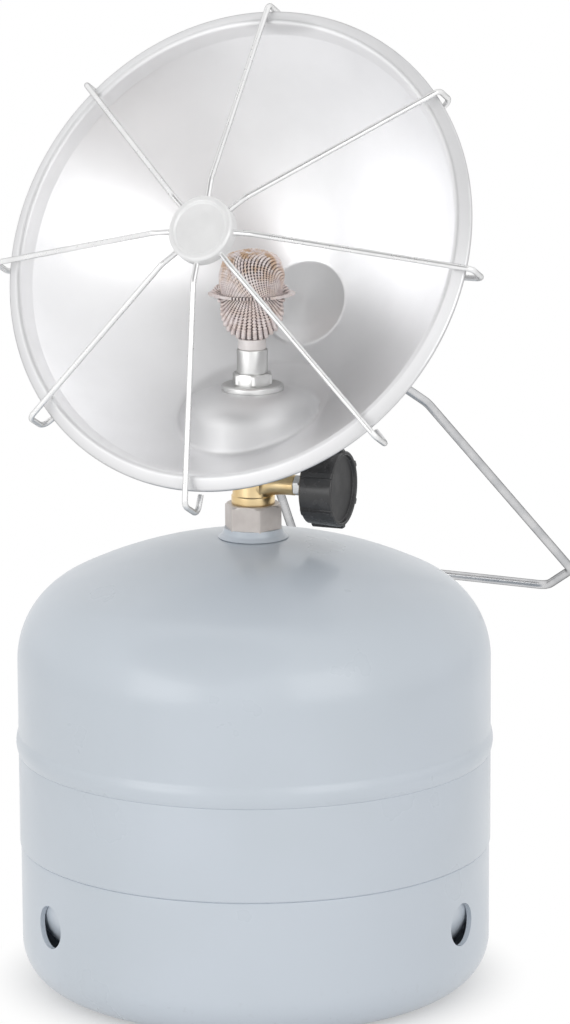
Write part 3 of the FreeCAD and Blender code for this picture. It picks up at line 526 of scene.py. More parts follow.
def ring_mesh(name: str, rings: np.ndarray, closed: bool) -> Mesh:
    """Mesh of rings of points joined one to the next.

    Args:
        name: Name of the mesh.
        rings: Points in metres, as rows by points by three.
        closed: Whether the last ring joins the first.

    Returns:
        The mesh, with doubled points merged and a map named turning.
    """
    rows, count = rings.shape[:2]
    low = np.arange(rows if closed else rows - 1)[:, None]
    high = (low + 1) % rows
    side = np.arange(count)
    ahead = (side + 1) % count
    corners = [low * count + side, low * count + ahead, high * count + ahead, high * count + side]
    mesh = bpy.data.meshes.new(name)
    mesh.from_pydata(rings.reshape(-1, 3).tolist(), [], np.stack(corners, axis=-1).reshape(-1, 4).tolist())
    turning = np.empty((len(low), count, 4, 2), np.float32)
    turning[..., 0] = (low[..., None] + np.array([0, 0, 1, 1])) / rows
    turning[..., 1] = (side[None, :, None] + np.array([0, 1, 1, 0])) / count
    mesh.uv_layers.new(name="turning").data.foreach_set("uv", turning.ravel())
    with edited(mesh) as edit:
        bmesh.ops.remove_doubles(edit, verts=edit.verts, dist=1e-7)
        bmesh.ops.dissolve_degenerate(edit, edges=edit.edges, dist=1e-8)
    return mesh


def face_outwards(mesh: Mesh) -> None:
    """Turn the faces of closed shells outwards."""
    with edited(mesh) as edit:
        bmesh.ops.recalc_face_normals(edit, faces=edit.faces)


def soft_least(first: np.ndarray, second: np.ndarray, blend: float) -> np.ndarray:
    """The lesser of two values, rounded where they cross."""
    gap = np.maximum(blend - np.abs(first - second), 0.0) / blend
    return np.minimum(first, second) - gap * gap * blend / 4


def turned_mesh(
    name: str,
    outline: Outline,
    place: Matrix = UPRIGHT,
    segments: int = 128,
    limit: Limit | None = None,
    blend: float = 0.25,
) -> Mesh:
    """Closed outline turned about an axis.

    Args:
        name: Name of the mesh.
        outline: Points as radius and height.
        place: Where the axis stands, in millimetres.
        segments: Points round the axis.
        limit: Largest radius for each direction and height, for flats and ribs.
        blend: How softly the limit meets the outline.

    Returns:
        The mesh in metres, faces outwards.
    """
    turns = np.arange(segments) * (2 * math.pi / segments)
    radius, height = (np.repeat(column[:, None], segments, axis=1) for column in np.array(outline, float).T)
    if limit is not None:
        radius = np.where(radius > 0, soft_least(radius, limit(turns, height), blend), radius)
        radius = np.maximum(radius, 0.0)
    mesh = ring_mesh(name, stood(place, radius * np.cos(turns), radius * np.sin(turns), height), True)
    face_outwards(mesh)
    return mesh


def six_flats(flats: float, ease: int = 70) -> Limit:
    """Limit of a six-sided bar with a corner at the start.

    Args:
        flats: Distance between opposite flats.
        ease: How sharp its corners are.

    Returns:
        Function that gives the radius in each direction.
    """

    def reach(turns: np.ndarray, height: np.ndarray) -> np.ndarray:
        """Radius of the bar in each direction."""
        sides = [np.maximum(np.cos(turns - math.radians(30 + 60 * k)), 0.0) ** ease for k in range(6)]
        return flats / 2 / np.sum(sides, axis=0) ** (1 / ease) + 0 * height

    return reach


def pick_finish(mesh: Mesh, picks: Sequence[int]) -> None:
    """Say which of the mesh's finishes each face takes."""
    mesh.polygons.foreach_set("material_index", np.array(picks, np.int32))


def finish_piece(
    name: str,
    mesh: Mesh,
    slot: Slot,
    nodes: Sequence[str],
    sharp: float | None = None,
    body: Body = Body.HEATER,
) -> None:
    """Put a finished mesh into the scene.

    Args:
        name: Name of the piece.
        mesh: Its mesh, in place.
        slot: Slot that its finish belongs to.
        nodes: Nodes of the frame that it stands for.
        sharp: Angle in degrees past which an edge is not shaded smooth, if it is to be shaded.
        body: Body that it moves with.
    """
    mesh.name = name
    if sharp is not None:
        mesh.shade_smooth()
        mesh.set_sharp_from_angle(angle=math.radians(sharp))
    if not mesh.materials:
        mesh.materials.append(SHELF.take(slot))
    piece = placed(name, mesh)
    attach(piece, body.value)
    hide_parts(*nodes)
    LOG.info("%s: %d faces for %s", name, len(mesh.polygons), ", ".join(nodes))


def made_plain(holder: Object) -> Mesh:
    """What an object's modifiers make of it.

    Args:
        holder: Object with the modifiers, which is removed.

    Returns:
        The plain mesh that comes out.
    """
    bpy.context.view_layer.update()
    result = bpy.data.meshes.new_from_object(holder.evaluated_get(bpy.context.evaluated_depsgraph_get()))
    holder.modifiers.clear()
    bpy.data.objects.remove(holder)
    return result


def applied(mesh: Mesh, kind: str, **settings: object) -> Mesh:
    """A copy of a mesh with a modifier applied.

    Args:
        mesh: Mesh to start from.
        kind: Kind of modifier.
        settings: Its settings.

    Returns:
        The plain mesh that comes out.
    """
    holder = placed("holder", mesh)
    modifier = holder.modifiers.new(kind.title(), kind)
    for name, value in settings.items():
        setattr(modifier, name, value)
    return made_plain(holder)


def joined(name: str, meshes: Sequence[Mesh]) -> Mesh:
    """Several meshes as one.

    Args:
        name: Name of the new mesh.
        meshes: Meshes to join.

    Returns:
        The new mesh.
    """
    result = bpy.data.meshes.new(name)
    with edited(result) as edit:
        for mesh in meshes:
            edit.from_mesh(mesh)
    return result


def eased_copy(node: str, bevel: float) -> Mesh:
    """Merged copy of a node's mesh with its sharp edges eased.

    Args:
        node: Node of the frame.
        bevel: Width of the eased edge.

    Returns:
        The new mesh.
    """
    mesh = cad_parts[node].data.copy()
    mesh.materials.clear()
    with edited(mesh) as edit:
        bmesh.ops.remove_doubles(edit, verts=edit.verts, dist=2e-6)
        bmesh.ops.dissolve_limit(edit, angle_limit=math.radians(0.6), verts=edit.verts, edges=edit.edges)
    sharp = math.radians(40)
    return applied(mesh, "BEVEL", width=bevel * MM, segments=2, limit_method="ANGLE", angle_limit=sharp)


# Geometry Nodes


class WireTree(NodeBench):
    """Geometry Nodes tree that sweeps round wire along the edges it is given."""

    def __init__(self, name: str) -> None:
        """Start a tree with the inputs that every wire has.

        Args:
            name: Name of the tree.
        """
        super().__init__(bpy.data.node_groups.new(name, "GeometryNodeTree"))
        self.tree.interface.new_socket("Geometry", in_out="OUTPUT", socket_type="NodeSocketGeometry")
        for socket, kind in (
            ("Geometry", "Geometry"), ("Wire Radius", "Float"), ("Sides", "Int"),
            ("Bend Steps", "Int"), ("Finish", "Material"),
        ):
            self.ask(socket, kind)

    def ask(self, name: str, kind: str) -> None:
        """Add a named input."""
        self.tree.interface.new_socket(name, in_out="INPUT", socket_type=f"NodeSocket{kind}")

    def named(self, name: str) -> NodeSocket:
        """Number that each point carries under a name."""
        return self.add("GeometryNodeInputNamedAttribute", {"Name": name}, data_type="FLOAT").outputs["Attribute"]

    def swept(self, given: Node, bends: bool) -> NodeSocket:
        """Wire along the given edges.

        Args:
            given: Node that holds the tree's inputs.
            bends: Whether the corners are bent.

        Returns:
            The wire's mesh.
        """
        curve = self.add("GeometryNodeMeshToCurve", {"Mesh": given.outputs["Geometry"]}).outputs["Curve"]
        if bends:
            feeds = {"Curve": curve, "Count": given.outputs["Bend Steps"], "Radius": self.named("bend")}
            curve = self.add("GeometryNodeFilletCurve", feeds, mode="POLY").outputs["Curve"]
        feeds = {"Resolution": given.outputs["Sides"], "Radius": given.outputs["Wire Radius"]}
        ring = self.add("GeometryNodeCurvePrimitiveCircle", feeds).outputs["Curve"]
        feeds = {"Curve": curve, "Profile Curve": ring, "Scale": self.named("girth"), "Fill Caps": True}
        return self.add("GeometryNodeCurveToMesh", feeds).outputs["Mesh"]

    def spread(self, given: Node, wire: NodeSocket, count: int) -> NodeSocket:
        """Copies of a wire at the named turns about its own axis.

        Args:
            given: Node that holds the tree's inputs.
            wire: Wire to repeat.
            count: How many turns are named.

        Returns:
            The copies as instances.
        """
        turns = self.add("GeometryNodeIndexSwitch", data_type="FLOAT")
        while len(turns.index_switch_items) < count:
            turns.index_switch_items.new()
        self.feed(turns.inputs["Index"], self.add("GeometryNodeInputIndex").outputs["Index"])
        for number in range(1, count + 1):
            self.feed(turns.inputs[number], given.outputs[f"Turn {number}"])
        lie = self.add("ShaderNodeCombineXYZ", {"Z": turns.outputs["Output"]}).outputs["Vector"]
        points = self.add("GeometryNodePoints", {"Count": count}).outputs["Geometry"]
        feeds = {"Points": points, "Instance": wire, "Rotation": lie}
        return self.add("GeometryNodeInstanceOnPoints", feeds).outputs["Instances"]

    def finished(self, bends: bool, spokes: int = 0) -> GeometryNodeTree:
        """Fill the tree, ending in realized geometry with its material.

        Args:
            bends: Whether the wire's corners are bent.
            spokes: How many named turns the wire is repeated at, none for the wire as it lies.

        Returns:
            The whole tree.
        """
        for number in range(1, spokes + 1):
            self.ask(f"Turn {number}", "Float")
        given = self.add("NodeGroupInput")
        wire = self.swept(given, bends)
        if spokes:
            wire = self.spread(given, wire, spokes)
        real = self.add("GeometryNodeRealizeInstances", {"Geometry": wire}).outputs["Geometry"]
        smooth = self.add("GeometryNodeSetShadeSmooth", {"Geometry": real}).outputs["Geometry"]
        painted = self.add("GeometryNodeSetMaterial", {"Geometry": smooth, "Material": given.outputs["Finish"]})
        self.add("NodeGroupOutput", {"Geometry": painted.outputs["Geometry"]})
        return self.tree


def grown(mesh: Mesh, tree: GeometryNodeTree, values: dict[str, object]) -> Mesh:
    """Run a tree on a mesh and keep what it makes as a plain mesh.

    Args:
        mesh: Mesh that the tree starts from.
        tree: The tree.
        values: Its inputs by name.

    Returns:
        The mesh that comes out.
    """
    seed = placed("seed", mesh)
    modifier = seed.modifiers.new("Growth", "NODES")
    modifier.node_group = tree
    for item in tree.interface.items_tree:
        if item.item_type == "SOCKET" and item.in_out == "INPUT" and item.name in values:
            modifier[item.identifier] = values[item.name]
    return made_plain(seed)


def polyline_mesh(name: str, lines: np.ndarray, bends: Sequence[float], girths: np.ndarray | None = None) -> Mesh:
    """Edges along polylines of equal count, carrying the bend and girth of each point.

    Args:
        name: Name of the mesh.
        lines: Points of each polyline in millimetres.
        bends: Bend radius at each point of a line.
        girths: Share of the wire's radius at each point of each line, all of it if left out.

    Returns:
        The mesh in metres.
    """
    rows, count = lines.shape[:2]
    edges = [(row * count + k, row * count + k + 1) for row in range(rows) for k in range(count - 1)]
    mesh = bpy.data.meshes.new(name)
    mesh.from_pydata((lines.reshape(-1, 3) * MM).tolist(), edges, [])
    shares = np.ones((rows, count)) if girths is None else girths
    for attribute, numbers in (("bend", np.tile(bends, rows) * MM), ("girth", shares.ravel())):
        layer = mesh.attributes.new(attribute, "FLOAT", "POINT")
        layer.data.foreach_set("value", numbers.astype(np.float32))
    return mesh


# Places shared by the sub-assemblies


def dish_place(side: float = 0.0, drop: float = 0.0) -> Matrix:
    """Where the reflector's rim lies, its third axis looking out of the bowl.

    Args:
        side: How far to the left of the rim's middle.
        drop: How far below it, in the plane of the rim.

    Returns:
        The place in millimetres.
    """
    lean = math.radians(DISH_LEAN)
    across = Vector((1.0, 0.0, 0.0))
    up = Vector((0.0, math.sin(lean), math.cos(lean)))
    out = Vector((0.0, -math.cos(lean), math.sin(lean)))
    place = Matrix((across, up, out)).transposed().to_4x4()
    place.translation = Vector(DISH_MIDDLE) - across * side - up * drop
    return place


def arm_place(start: float = 0.0, roll: float = 0.0) -> Matrix:
    """Where pieces lie along the valve's arm, their third axis looking along it.

    Args:
        start: How far along the arm.
        roll: Turn about the arm in degrees.

    Returns:
        The place in millimetres.
    """
    turn = rotated(ARM_TURN, "Z")
    lift = Matrix.Translation(turn @ Vector((start, 0.0, 0.0)) + Vector((0.0, 0.0, ARM_HEIGHT)))
    return lift @ turn @ rotated(90.0, "Y") @ rotated(roll, "Z")


# Sub-assemblies


@dataclass
class GasBottle:
    """Steel bottle of two pressed shells on a foot ring, with its valve boss."""

    radius: float = 101.5
    wall: float = 2.0
    seam: float = 107.0
    seam_half: float = 4.5
    bulge: float = 1.0
    dome_start: float = 142.5
    dome_rise: float = 53.0
    dome_knuckle: float = 38.0
    dome_rings: tuple[float, ...] = (0.8, 6.0, 14.0, 22.0, 28.0)
    head_radius: float = 98.5
    head_start: float = 45.0
    head_drop: float = 35.0
    head_knuckle: float = 28.0
    lap_inset: tuple[float, float] = (2.3, 4.0)
    lap_height: float = 8.0
    foot_radius: float = 101.0
    foot_wall: float = 2.2
    foot_top: float = 62.0
    foot_lip: float = 56.0
    foot_corner: float = 20.0
    foot_contact: float = 5.0
    foot_rings: tuple[float, ...] = (26.0, 31.0, 37.0, 43.0, 50.0)
    drain_radius: float = 9.25
    drain_height: float = 37.0
    drain_turns: tuple[float, ...] = (-33.0, 87.0, 207.0)
    drill_reach: tuple[float, float] = (85.0, 120.0)
    boss_radius: float = 11.0
    boss_bore: float = 8.05
    boss_foot: float = 167.0
    boss_weld: float = 195.2
    boss_shoulder: float = 198.5
    boss_top: float = 209.7
    boss_flats: float = 22.0
    boss_turn: float = 10.0

    def crown(self, radius: float, knuckle: float, rise: float) -> tuple[float, float]:
        """Crown of a pressed head.

        Args:
            radius: Radius of the shell.
            knuckle: Radius of the bend at the shell's edge.
            rise: Height of the head.

        Returns:
            Radius of the crown, and the angle in degrees where the knuckle ends.
        """
        side = radius - knuckle
        crown = (rise * rise + side * side - knuckle * knuckle) / (2 * (rise - knuckle))
        return crown, math.degrees(math.atan2(crown - rise, side))

    def upper_outline(self) -> Outline:
        """Upper shell with the pressed seam band at its lower edge.

        Returns:
            The closed outline.
        """
        crown, ends = self.crown(self.radius, self.dome_knuckle, self.dome_rise)
        middle = (0.0, self.dome_start + self.dome_rise - crown)
        bend = (self.radius - self.dome_knuckle, self.dome_start)
        bow = (self.seam_half**2 + self.bulge**2) / (2 * self.bulge)
        opening = math.degrees(math.asin(self.seam_half / bow))
        neck = math.degrees(math.acos((self.boss_radius + 0.3) / crown))
        return [
            *arc((self.radius + self.bulge - bow, self.seam), bow, -opening, opening, 10),
            *[(self.radius, self.seam + self.seam_half + rise) for rise in self.dome_rings],
            *arc(bend, self.dome_knuckle, 0, ends, 26),
            *arc(middle, crown, ends, neck, 26)[1:],
            *arc(middle, crown - self.wall, neck, ends, 12),
            *arc(bend, self.dome_knuckle - self.wall, ends, 0, 12)[1:],
            (self.radius - self.wall, self.seam - self.seam_half),
        ]

    def lower_outline(self) -> Outline:
        """Lower shell with its pressed head.

        Returns:
            The closed outline.
        """
        crown, ends = self.crown(self.head_radius, self.head_knuckle, self.head_drop)
        middle = (0.0, self.head_start - self.head_drop + crown)
        bend = (self.head_radius - self.head_knuckle, self.head_start)
        lap = self.seam - self.seam_half
        tongue, inside = (self.radius - inset for inset in self.lap_inset)
        wall = [
            (self.head_radius, self.foot_top), (self.radius, self.foot_top, 0.9), (self.radius, lap, 0.5),
            (tongue, lap), (tongue, lap + self.lap_height), (inside, lap + self.lap_height), (inside, self.foot_top),
        ]
        head = arc(middle, crown, -90, -ends, 20)
        floor = arc(middle, crown - self.wall, -ends, -90, 8)
        return [
            (0.0, head[0][1]),
            *head[1:],
            *arc(bend, self.head_knuckle, -ends, 0, 14)[1:],
            *rounded(wall, closed=False),
            *arc(bend, self.head_knuckle - self.wall, 0, -ends, 8),
            *floor[1:-1],
            (0.0, floor[-1][1]),
        ]

    def foot_outline(self) -> Outline:
        """Rolled foot ring under the lower shell.

        Returns:
            The closed outline.
        """
        outside, inside = self.foot_radius, self.foot_radius - self.foot_wall
        bend = (outside - self.foot_corner, self.foot_corner)
        edge = bend[0] - self.foot_contact
        lip = [
            (outside, self.foot_lip), (outside, self.foot_top, 0.7),
            (inside, self.foot_top, 0.5), (inside, self.foot_lip),
        ]
        return [
            (edge, 0.0),
            *arc(bend, self.foot_corner, -90, 0, 18),
            *[(outside, height) for height in self.foot_rings],
            *rounded(lip, False, 4),
            *arc(bend, self.foot_corner - self.foot_wall, 0, -90, 12),
            (edge, self.foot_wall),
        ]

    def foot_mesh(self) -> Mesh:
        """Foot ring with its drain holes drilled.

        Returns:
            The drilled mesh.
        """
        near, far = self.drill_reach
        drill = [(0.0, near), (self.drain_radius, near), (self.drain_radius, far), (0.0, far)]
        lift = Matrix.Translation((0, 0, self.drain_height))
        drills = [
            turned_mesh("drill", drill, lift @ rotated(turn - 90.0, "Z") @ rotated(90.0, "Y"), 48)
            for turn in self.drain_turns
        ]
        cutter = placed("drills", joined("drills", drills))
        ring = turned_mesh("foot_ring", self.foot_outline(), segments=240)
        mesh = applied(ring, "BOOLEAN", object=cutter, operation="DIFFERENCE", solver="EXACT")
        bpy.data.objects.remove(cutter)
        return mesh

    def build_boss(self) -> None:
        """Make the boss that the valve screws into, its weld painted with the bottle."""
        corner, bore = self.boss_flats / math.sqrt(3), self.boss_bore
        weld, shoulder = self.boss_weld, self.boss_shoulder
        shank = [
            (0.0, self.boss_foot), (self.boss_radius, self.boss_foot), (self.boss_radius, weld), (corner + 2.3, weld),
            (corner + 0.5, weld + 1.6, 2.0), (corner - 0.3, shoulder + 0.8), (0.0, shoulder + 0.8),
        ]
        hexagon = [
            (bore, shoulder - 0.5), (corner, shoulder - 0.5), (corner, self.boss_top - 1.2, 0.5),
            (corner - 1.4, self.boss_top, 0.3), (bore, self.boss_top),
        ]
        place = rotated(self.boss_turn, "Z")
        welded = turned_mesh("shank", rounded(shank), place)
        pick_finish(welded, [1] * len(welded.polygons))
        nut = turned_mesh("hexagon", rounded(hexagon), place, 192, six_flats(self.boss_flats), 0.2)
        mesh = joined("boss", [welded, nut])
        for slot in (Slot.BOSS, Slot.BOTTLE):
            mesh.materials.append(SHELF.take(slot))
        finish_piece("bottle_boss", mesh, Slot.BOSS, ["bottle_valve_boss"], 30.0)

    def build(self) -> None:
        """Make the shells, the foot and the boss."""
        for name, mesh, node in (
            ("bottle_dome", turned_mesh("dome", self.upper_outline(), segments=256), "bottle_upper_shell"),
            ("bottle_base", turned_mesh("base", self.lower_outline(), segments=256), "bottle_lower_shell"),
            ("bottle_foot", self.foot_mesh(), "bottle_foot_ring"),
        ):
            finish_piece(name, mesh, Slot.BOTTLE, [node], 38.0)
        self.build_boss()


@dataclass
class ControlValve:
    """Brass valve with its gland nut and knob."""

    foot: float = 209.7
    spigot: float = 15.0
    spigot_radius: float = 8.0
    ring_radius: float = 9.3
    ring_height: float = 3.5
    barrel_radius: float = 8.8
    barrel_top: float = 229.0
    neck_radius: float = 7.5
    neck_top: float = 234.5
    arm_start: float = 2.0
    arm_radius: float = 4.4
    arm_length: float = 19.7
    flare: float = 3.4
    flare_fall: float = 2.2
    flare_span: tuple[float, float] = (5.8, 16.0)
    gland_bore: float = 1.95
    gland_flats: float = 8.0
    gland_length: float = 2.9
    gland_turn: float = 8.0
    knob_back: float = 26.7
    knob_front: float = 41.6
    knob_radius: float = 17.1
    knob_waist: float = 16.2
    knob_heel: float = 15.5
    knob_rib: float = 1.2
    knob_flank: float = 0.3
    knob_edge: float = 0.7
    knob_floor: float = 2.9
    knob_boss: float = 4.5
    knob_boss_start: float = 23.2
    knob_hollow: float = 12.6
    knob_ring: float = 14.5
    knob_recess: float = 1.6
    knob_chamfer: tuple[float, float] = (0.6, 0.5)
    # least lean towards the arm for a face to take the painted shade
    face_least: float = 0.9

    def build_body(self) -> None:
        """Make the turned barrel with the arm brazed into its side."""
        foot, collar, start = self.foot, self.foot + self.ring_height, self.arm_start
        barrel = [
            (0.0, foot - self.spigot), (self.spigot_radius, foot - self.spigot), (self.spigot_radius, foot),
            (self.ring_radius, foot, 0.3), (self.ring_radius, collar, 0.35), (self.barrel_radius, collar + 0.5, 0.3),
            (self.barrel_radius, self.barrel_top, 0.8), (self.neck_radius, self.barrel_top, 0.3),
            (self.neck_radius, self.neck_top, 0.4), (0.0, self.neck_top),
        ]
        radius, length = self.arm_radius, self.arm_length
        arm = [(0.0, start), (radius, start), (radius, length, 0.4), (0.0, length)]
        near, far = self.flare_span
        flare = [
            (radius + self.flare * math.exp((near - s) / self.flare_fall), s) for s in np.linspace(near, far, 18)
        ]
        root = [(0.0, start), (radius + self.flare, start), *flare, (radius - 0.3, far + 0.1), (0.0, far + 0.1)]
        parts = [
            turned_mesh("barrel", rounded(barrel)),
            turned_mesh("arm", rounded(arm), arm_place(), 72),
            turned_mesh("root", root, arm_place(), 72),
        ]
        finish_piece("valve_brass", joined("valve", parts), Slot.BRASS, ["valve_body"], 34.0)

    def build_gland(self) -> None:
        """Make the six-sided nut at the end of the arm."""
        corner, bore, length = self.gland_flats / math.sqrt(3), self.gland_bore, self.gland_length
        nut = [
            (bore, 0.0), (corner - 0.2, 0.0), (corner, 0.2),
            (corner, length - 0.5), (corner - 0.6, length), (bore, length),
        ]
        place = arm_place(self.arm_length, self.gland_turn)
        gland = turned_mesh("gland", rounded(nut), place, 144, six_flats(self.gland_flats), 0.15)
        finish_piece("gland_plated", gland, Slot.PLATED, ["gland_nut"], 30.0)

    def ribs(self, turns: np.ndarray, height: np.ndarray) -> np.ndarray:
        """Radius of the tapered knob with its six ribs.

        Args:
            turns: Directions round the knob.
            height: Places along it.

        Returns:
            The radius at each place and direction.
        """
        valley, ridge = self.knob_chamfer
        along = np.clip((height - self.knob_back) / (self.knob_front - self.knob_back), 0.0, 1.0)
        front = np.clip((height - self.knob_front + self.knob_edge) / self.knob_edge, 0.0, 1.0) ** 2
        waist = self.knob_heel + (self.knob_waist - self.knob_heel) * along - valley * front
        off = (turns + math.radians(30)) % math.radians(60) - math.radians(30)
        inside = self.knob_rib + self.knob_flank / 2 - np.abs(np.sin(off)) * self.knob_waist
        share = np.clip(inside / self.knob_flank, 0.0, 1.0)
        return waist + (self.knob_radius - ridge * front - waist) * share * share * (3 - 2 * share)

    def build_knob(self) -> None:
        """Make the ribbed knob with a raised ring round its face, the face darkened by painted shade."""
        face, back, front = self.knob_front - self.knob_recess, self.knob_back, self.knob_front
        grip, floor = self.knob_radius + 0.4, self.knob_front - self.knob_recess - self.knob_floor
        outline = [
            (0.0, self.knob_boss_start), (self.knob_boss, self.knob_boss_start, 0.3), (self.knob_boss, floor),
            (self.knob_hollow, floor, 0.5), (self.knob_hollow, back, 0.4),
            (self.knob_heel - 0.5, back), (self.knob_heel + 1.0, back + 0.5),
            *[(grip, back + step) for step in (1.0, 4.0, 8.0, 12.0)],
            *[(grip, front - step) for step in (self.knob_edge, 0.5, 0.3, 0.15, 0.0)],
            (self.knob_ring, front, 0.4), (self.knob_ring - 0.4, face, 0.3), (0.0, face),
        ]
        mesh = turned_mesh("knob", rounded(outline, steps=4), arm_place(), 480, self.ribs, 0.15)
        out = arm_place().col[2].to_3d()
        # faces looking out along the arm take the matt face finish, darkened as painted shade
        pick_finish(mesh, [side.normal.dot(out) > self.face_least for side in mesh.polygons])
        for key in (Slot.KNOB, Extra.FACE):
            mesh.materials.append(SHELF.take(key))
        finish_piece("knob_moulded", mesh, Slot.KNOB, ["knob"], 40.0, Body.CONTROL)

    def build(self) -> None:
        """Make the valve body, gland and knob."""
        self.build_body()
        self.build_gland()
        self.build_knob()


@dataclass
class GauzeHalf:
    """Sizes of one half of the knitted gauze, side 1 for the upper and -1 for the lower."""

    side: int
    corners: tuple[tuple[float, ...], ...]
    ribs: int
    girth: float
    cover: tuple[float, float]
    gather: float
    slant: float
    dip: float

    def profile(self) -> tuple[np.ndarray, np.ndarray]:
        """Rising heights of the outline and their radii."""
        points = np.array(rounded(self.corners, False, 10))
        return points[:, 1] + np.arange(len(points)) * 1e-6, points[:, 0]


@dataclass
class Burner:
    """Mixing tube, burner stack and knitted gauze."""

    bore: float = 4.9
    seat: float = 258.9
    washer_radius: float = 13.25
    washer_top: float = 261.5
    nut_flats: float = 15.8
    nut_top: float = 266.4
    nut_turn: float = 7.0
    sleeve_radius: float = 6.55
    sleeve_top: float = 276.7
    collar_radius: float = 5.9
    base: float = 281.2
    seam: float = 300.3
    top: float = 319.3
    turn: float = 26.65
    ear: float = 18.5
    lip_depth: float = 14.8
    lip_inner: float = 12.6
    lip_levels: tuple[float, float] = (0.014, 0.56)
    # reach inside which the lip's stitches take painted shade
    lip_lit: float = 15.4
    pinch: tuple[float, float] = (0.26, 0.2)
    pinch_width: float = 0.27
    pinch_power: float = 0.65
    sway: float = 0.15
    lean_most: float = 85.0
    sweep: tuple[float, float] = (3.0, 177.0)
    stitches: int = 38
    stitch_points: int = 6
    stitch_swell: float = 0.3
    shade_lining_depth: float = 1.45
    lip_stitches: int = 64
    lip_ripple: float = 0.1
    search: float = 30.0
    dip_width: float = 3.6
    front_way: np.ndarray = field(init=False)
    ear_way: np.ndarray = field(init=False)

    def __post_init__(self) -> None:
        """Work out where the gauze faces."""
        lean = math.radians(self.turn)
        self.front_way = np.array([math.sin(lean), -math.cos(lean), 0.0])
        self.ear_way = np.array([math.cos(lean), math.sin(lean), 0.0])

    def halves(self) -> tuple[GauzeHalf, GauzeHalf]:
        """The lower and the upper half of the gauze.

        Returns:
            Both halves, the lower one first.
        """
        base, top = self.base, self.top
        low = ((0.0, base), (6.7, base, 1.0), (11.4, base + 3.4, 7.0), (13.65, base + 9.5, 9.0), (13.65, self.seam))
        high = ((14.25, self.seam), (14.25, top - 10.0, 8.0), (11.6, top - 2.6, 7.0), (4.5, top, 3.0), (0.0, top + 0.1))
        lower = GauzeHalf(-1, low, ribs=24, girth=1.1, cover=(1.24, 0.7), gather=0.55, slant=0.0, dip=0.0)
        upper = GauzeHalf(1, high, ribs=42, girth=0.72, cover=(1.34, 0.7), gather=0.8, slant=40.0, dip=1.3)
        return lower, upper

    def dimple(self, across: np.ndarray, half: GauzeHalf) -> np.ndarray:
        """How far the crown is sunk at a distance from the axis."""
        return half.dip * np.exp(-((across / self.dip_width) ** 2))

    def ways(self, aside: float, sweep: np.ndarray, half: GauzeHalf) -> np.ndarray:
        """Directions along one rib, from the front of the seam over the top or bottom to its back.

        Args:
            aside: How far the rib leans towards an ear, in degrees.
            sweep: Places along the rib, from 0 to 180 degrees.
            half: Half of the gauze.

        Returns:
            Unit directions, three to a place.
        """
        leaning, sweep = math.radians(aside), np.radians(sweep)[:, None]
        start, level = leaning * half.gather, np.cos(sweep)
        rise = np.array([0.0, 0.0, float(half.side)])
        way = level * math.cos(start) * self.front_way + level**2 * math.sin(start) * self.ear_way
        way = way + np.sin(sweep) * (math.sin(leaning) * self.ear_way + math.cos(leaning) * rise)
        x, y, z = (way / np.linalg.norm(way, axis=-1, keepdims=True)).T
        spin = -math.radians(half.slant) * np.abs(z)
        return np.stack([x * np.cos(spin) - y * np.sin(spin), x * np.sin(spin) + y * np.cos(spin), z], axis=-1)

    def rib(self, ways: np.ndarray, half: GauzeHalf) -> np.ndarray:
        """Middle line of one rib, on the gauze seen from the middle of its seam.

        Args:
            ways: Unit directions, three to a point.
            half: Half of the gauze.

        Returns:
            Points in millimetres.
        """
        heights, radii = half.profile()
        near, far = np.zeros(len(ways)), np.full(len(ways), self.search)
        for _ in range(40):
            mid = (near + far) / 2
            across = np.hypot(ways[:, 0], ways[:, 1]) * mid
            inside = across < np.interp(self.seam + ways[:, 2] * mid, heights, radii, left=-1.0, right=-1.0)
            near, far = np.where(inside, mid, near), np.where(inside, far, mid)
        aside = ways @ self.ear_way
        close = np.clip(1.0 - np.arccos(np.clip(np.abs(aside), 0.0, 1.0)) / self.pinch_width, 0.0, 1.0)
        near *= 1.0 + np.where(aside < 0, *self.pinch) * close**self.pinch_power
        sway = self.sway * np.sin(7 * ways[:, 0] + 3 * half.side) * np.cos(9 * ways[:, 1] - 4 * ways[:, 2])
        points = ways * (near - half.girth + sway)[:, None]
        points[:, 2] += self.seam - self.dimple(np.hypot(points[:, 0], points[:, 1]), half)
        return points

    def girths(self, lines: np.ndarray, half: GauzeHalf) -> np.ndarray:
        """Girth along each rib, as a share of the widest, from how far off the next rib is.

        Args:
            lines: Points along each rib.
            half: Half of the gauze.

        Returns:
            A share for each point of each rib, swelling at each stitch and staggered from rib to rib.
        """
        heading = np.gradient(lines, axis=1)
        heading /= np.linalg.norm(heading, axis=-1, keepdims=True)
        step = np.gradient(lines, axis=0)
        apart = np.linalg.norm(step - (step * heading).sum(-1, keepdims=True) * heading, axis=-1)
        middle, ear = half.cover
        cover = middle + (ear - middle) * np.abs(np.linspace(-1.0, 1.0, half.ribs)) ** 1.5
        share = np.clip(cover[:, None] * apart / (2.0 * half.girth), 0.08, 1.0)
        swell = self.stitch_swell * np.cos(np.arange(lines.shape[1]) * (2 * math.pi / self.stitch_points))
        return share * (1.0 - self.stitch_swell + swell * (-1.0) ** np.arange(half.ribs)[:, None])

    def lining(self, half: GauzeHalf) -> Mesh:
        """Closed dark inner layer of painted shade that backs the open knit, showing as shade between its ribs.

        Args:
            half: Half of the gauze.

        Returns:
            Its mesh.
        """
        heights, radii = half.profile()
        sunk = self.shade_lining_depth * half.girth
        shrink = 1.0 - sunk / (self.top - self.seam) * (half.side > 0)
        levels = self.seam + (heights - self.seam) * shrink - self.dimple(radii, half)
        outline = [(max(r - sunk, 0.0), z) for z, r in zip(levels, radii)]
        mesh = turned_mesh("lining", [*outline, (0.0, outline[-1][1]), (0.0, outline[0][1])], segments=96)
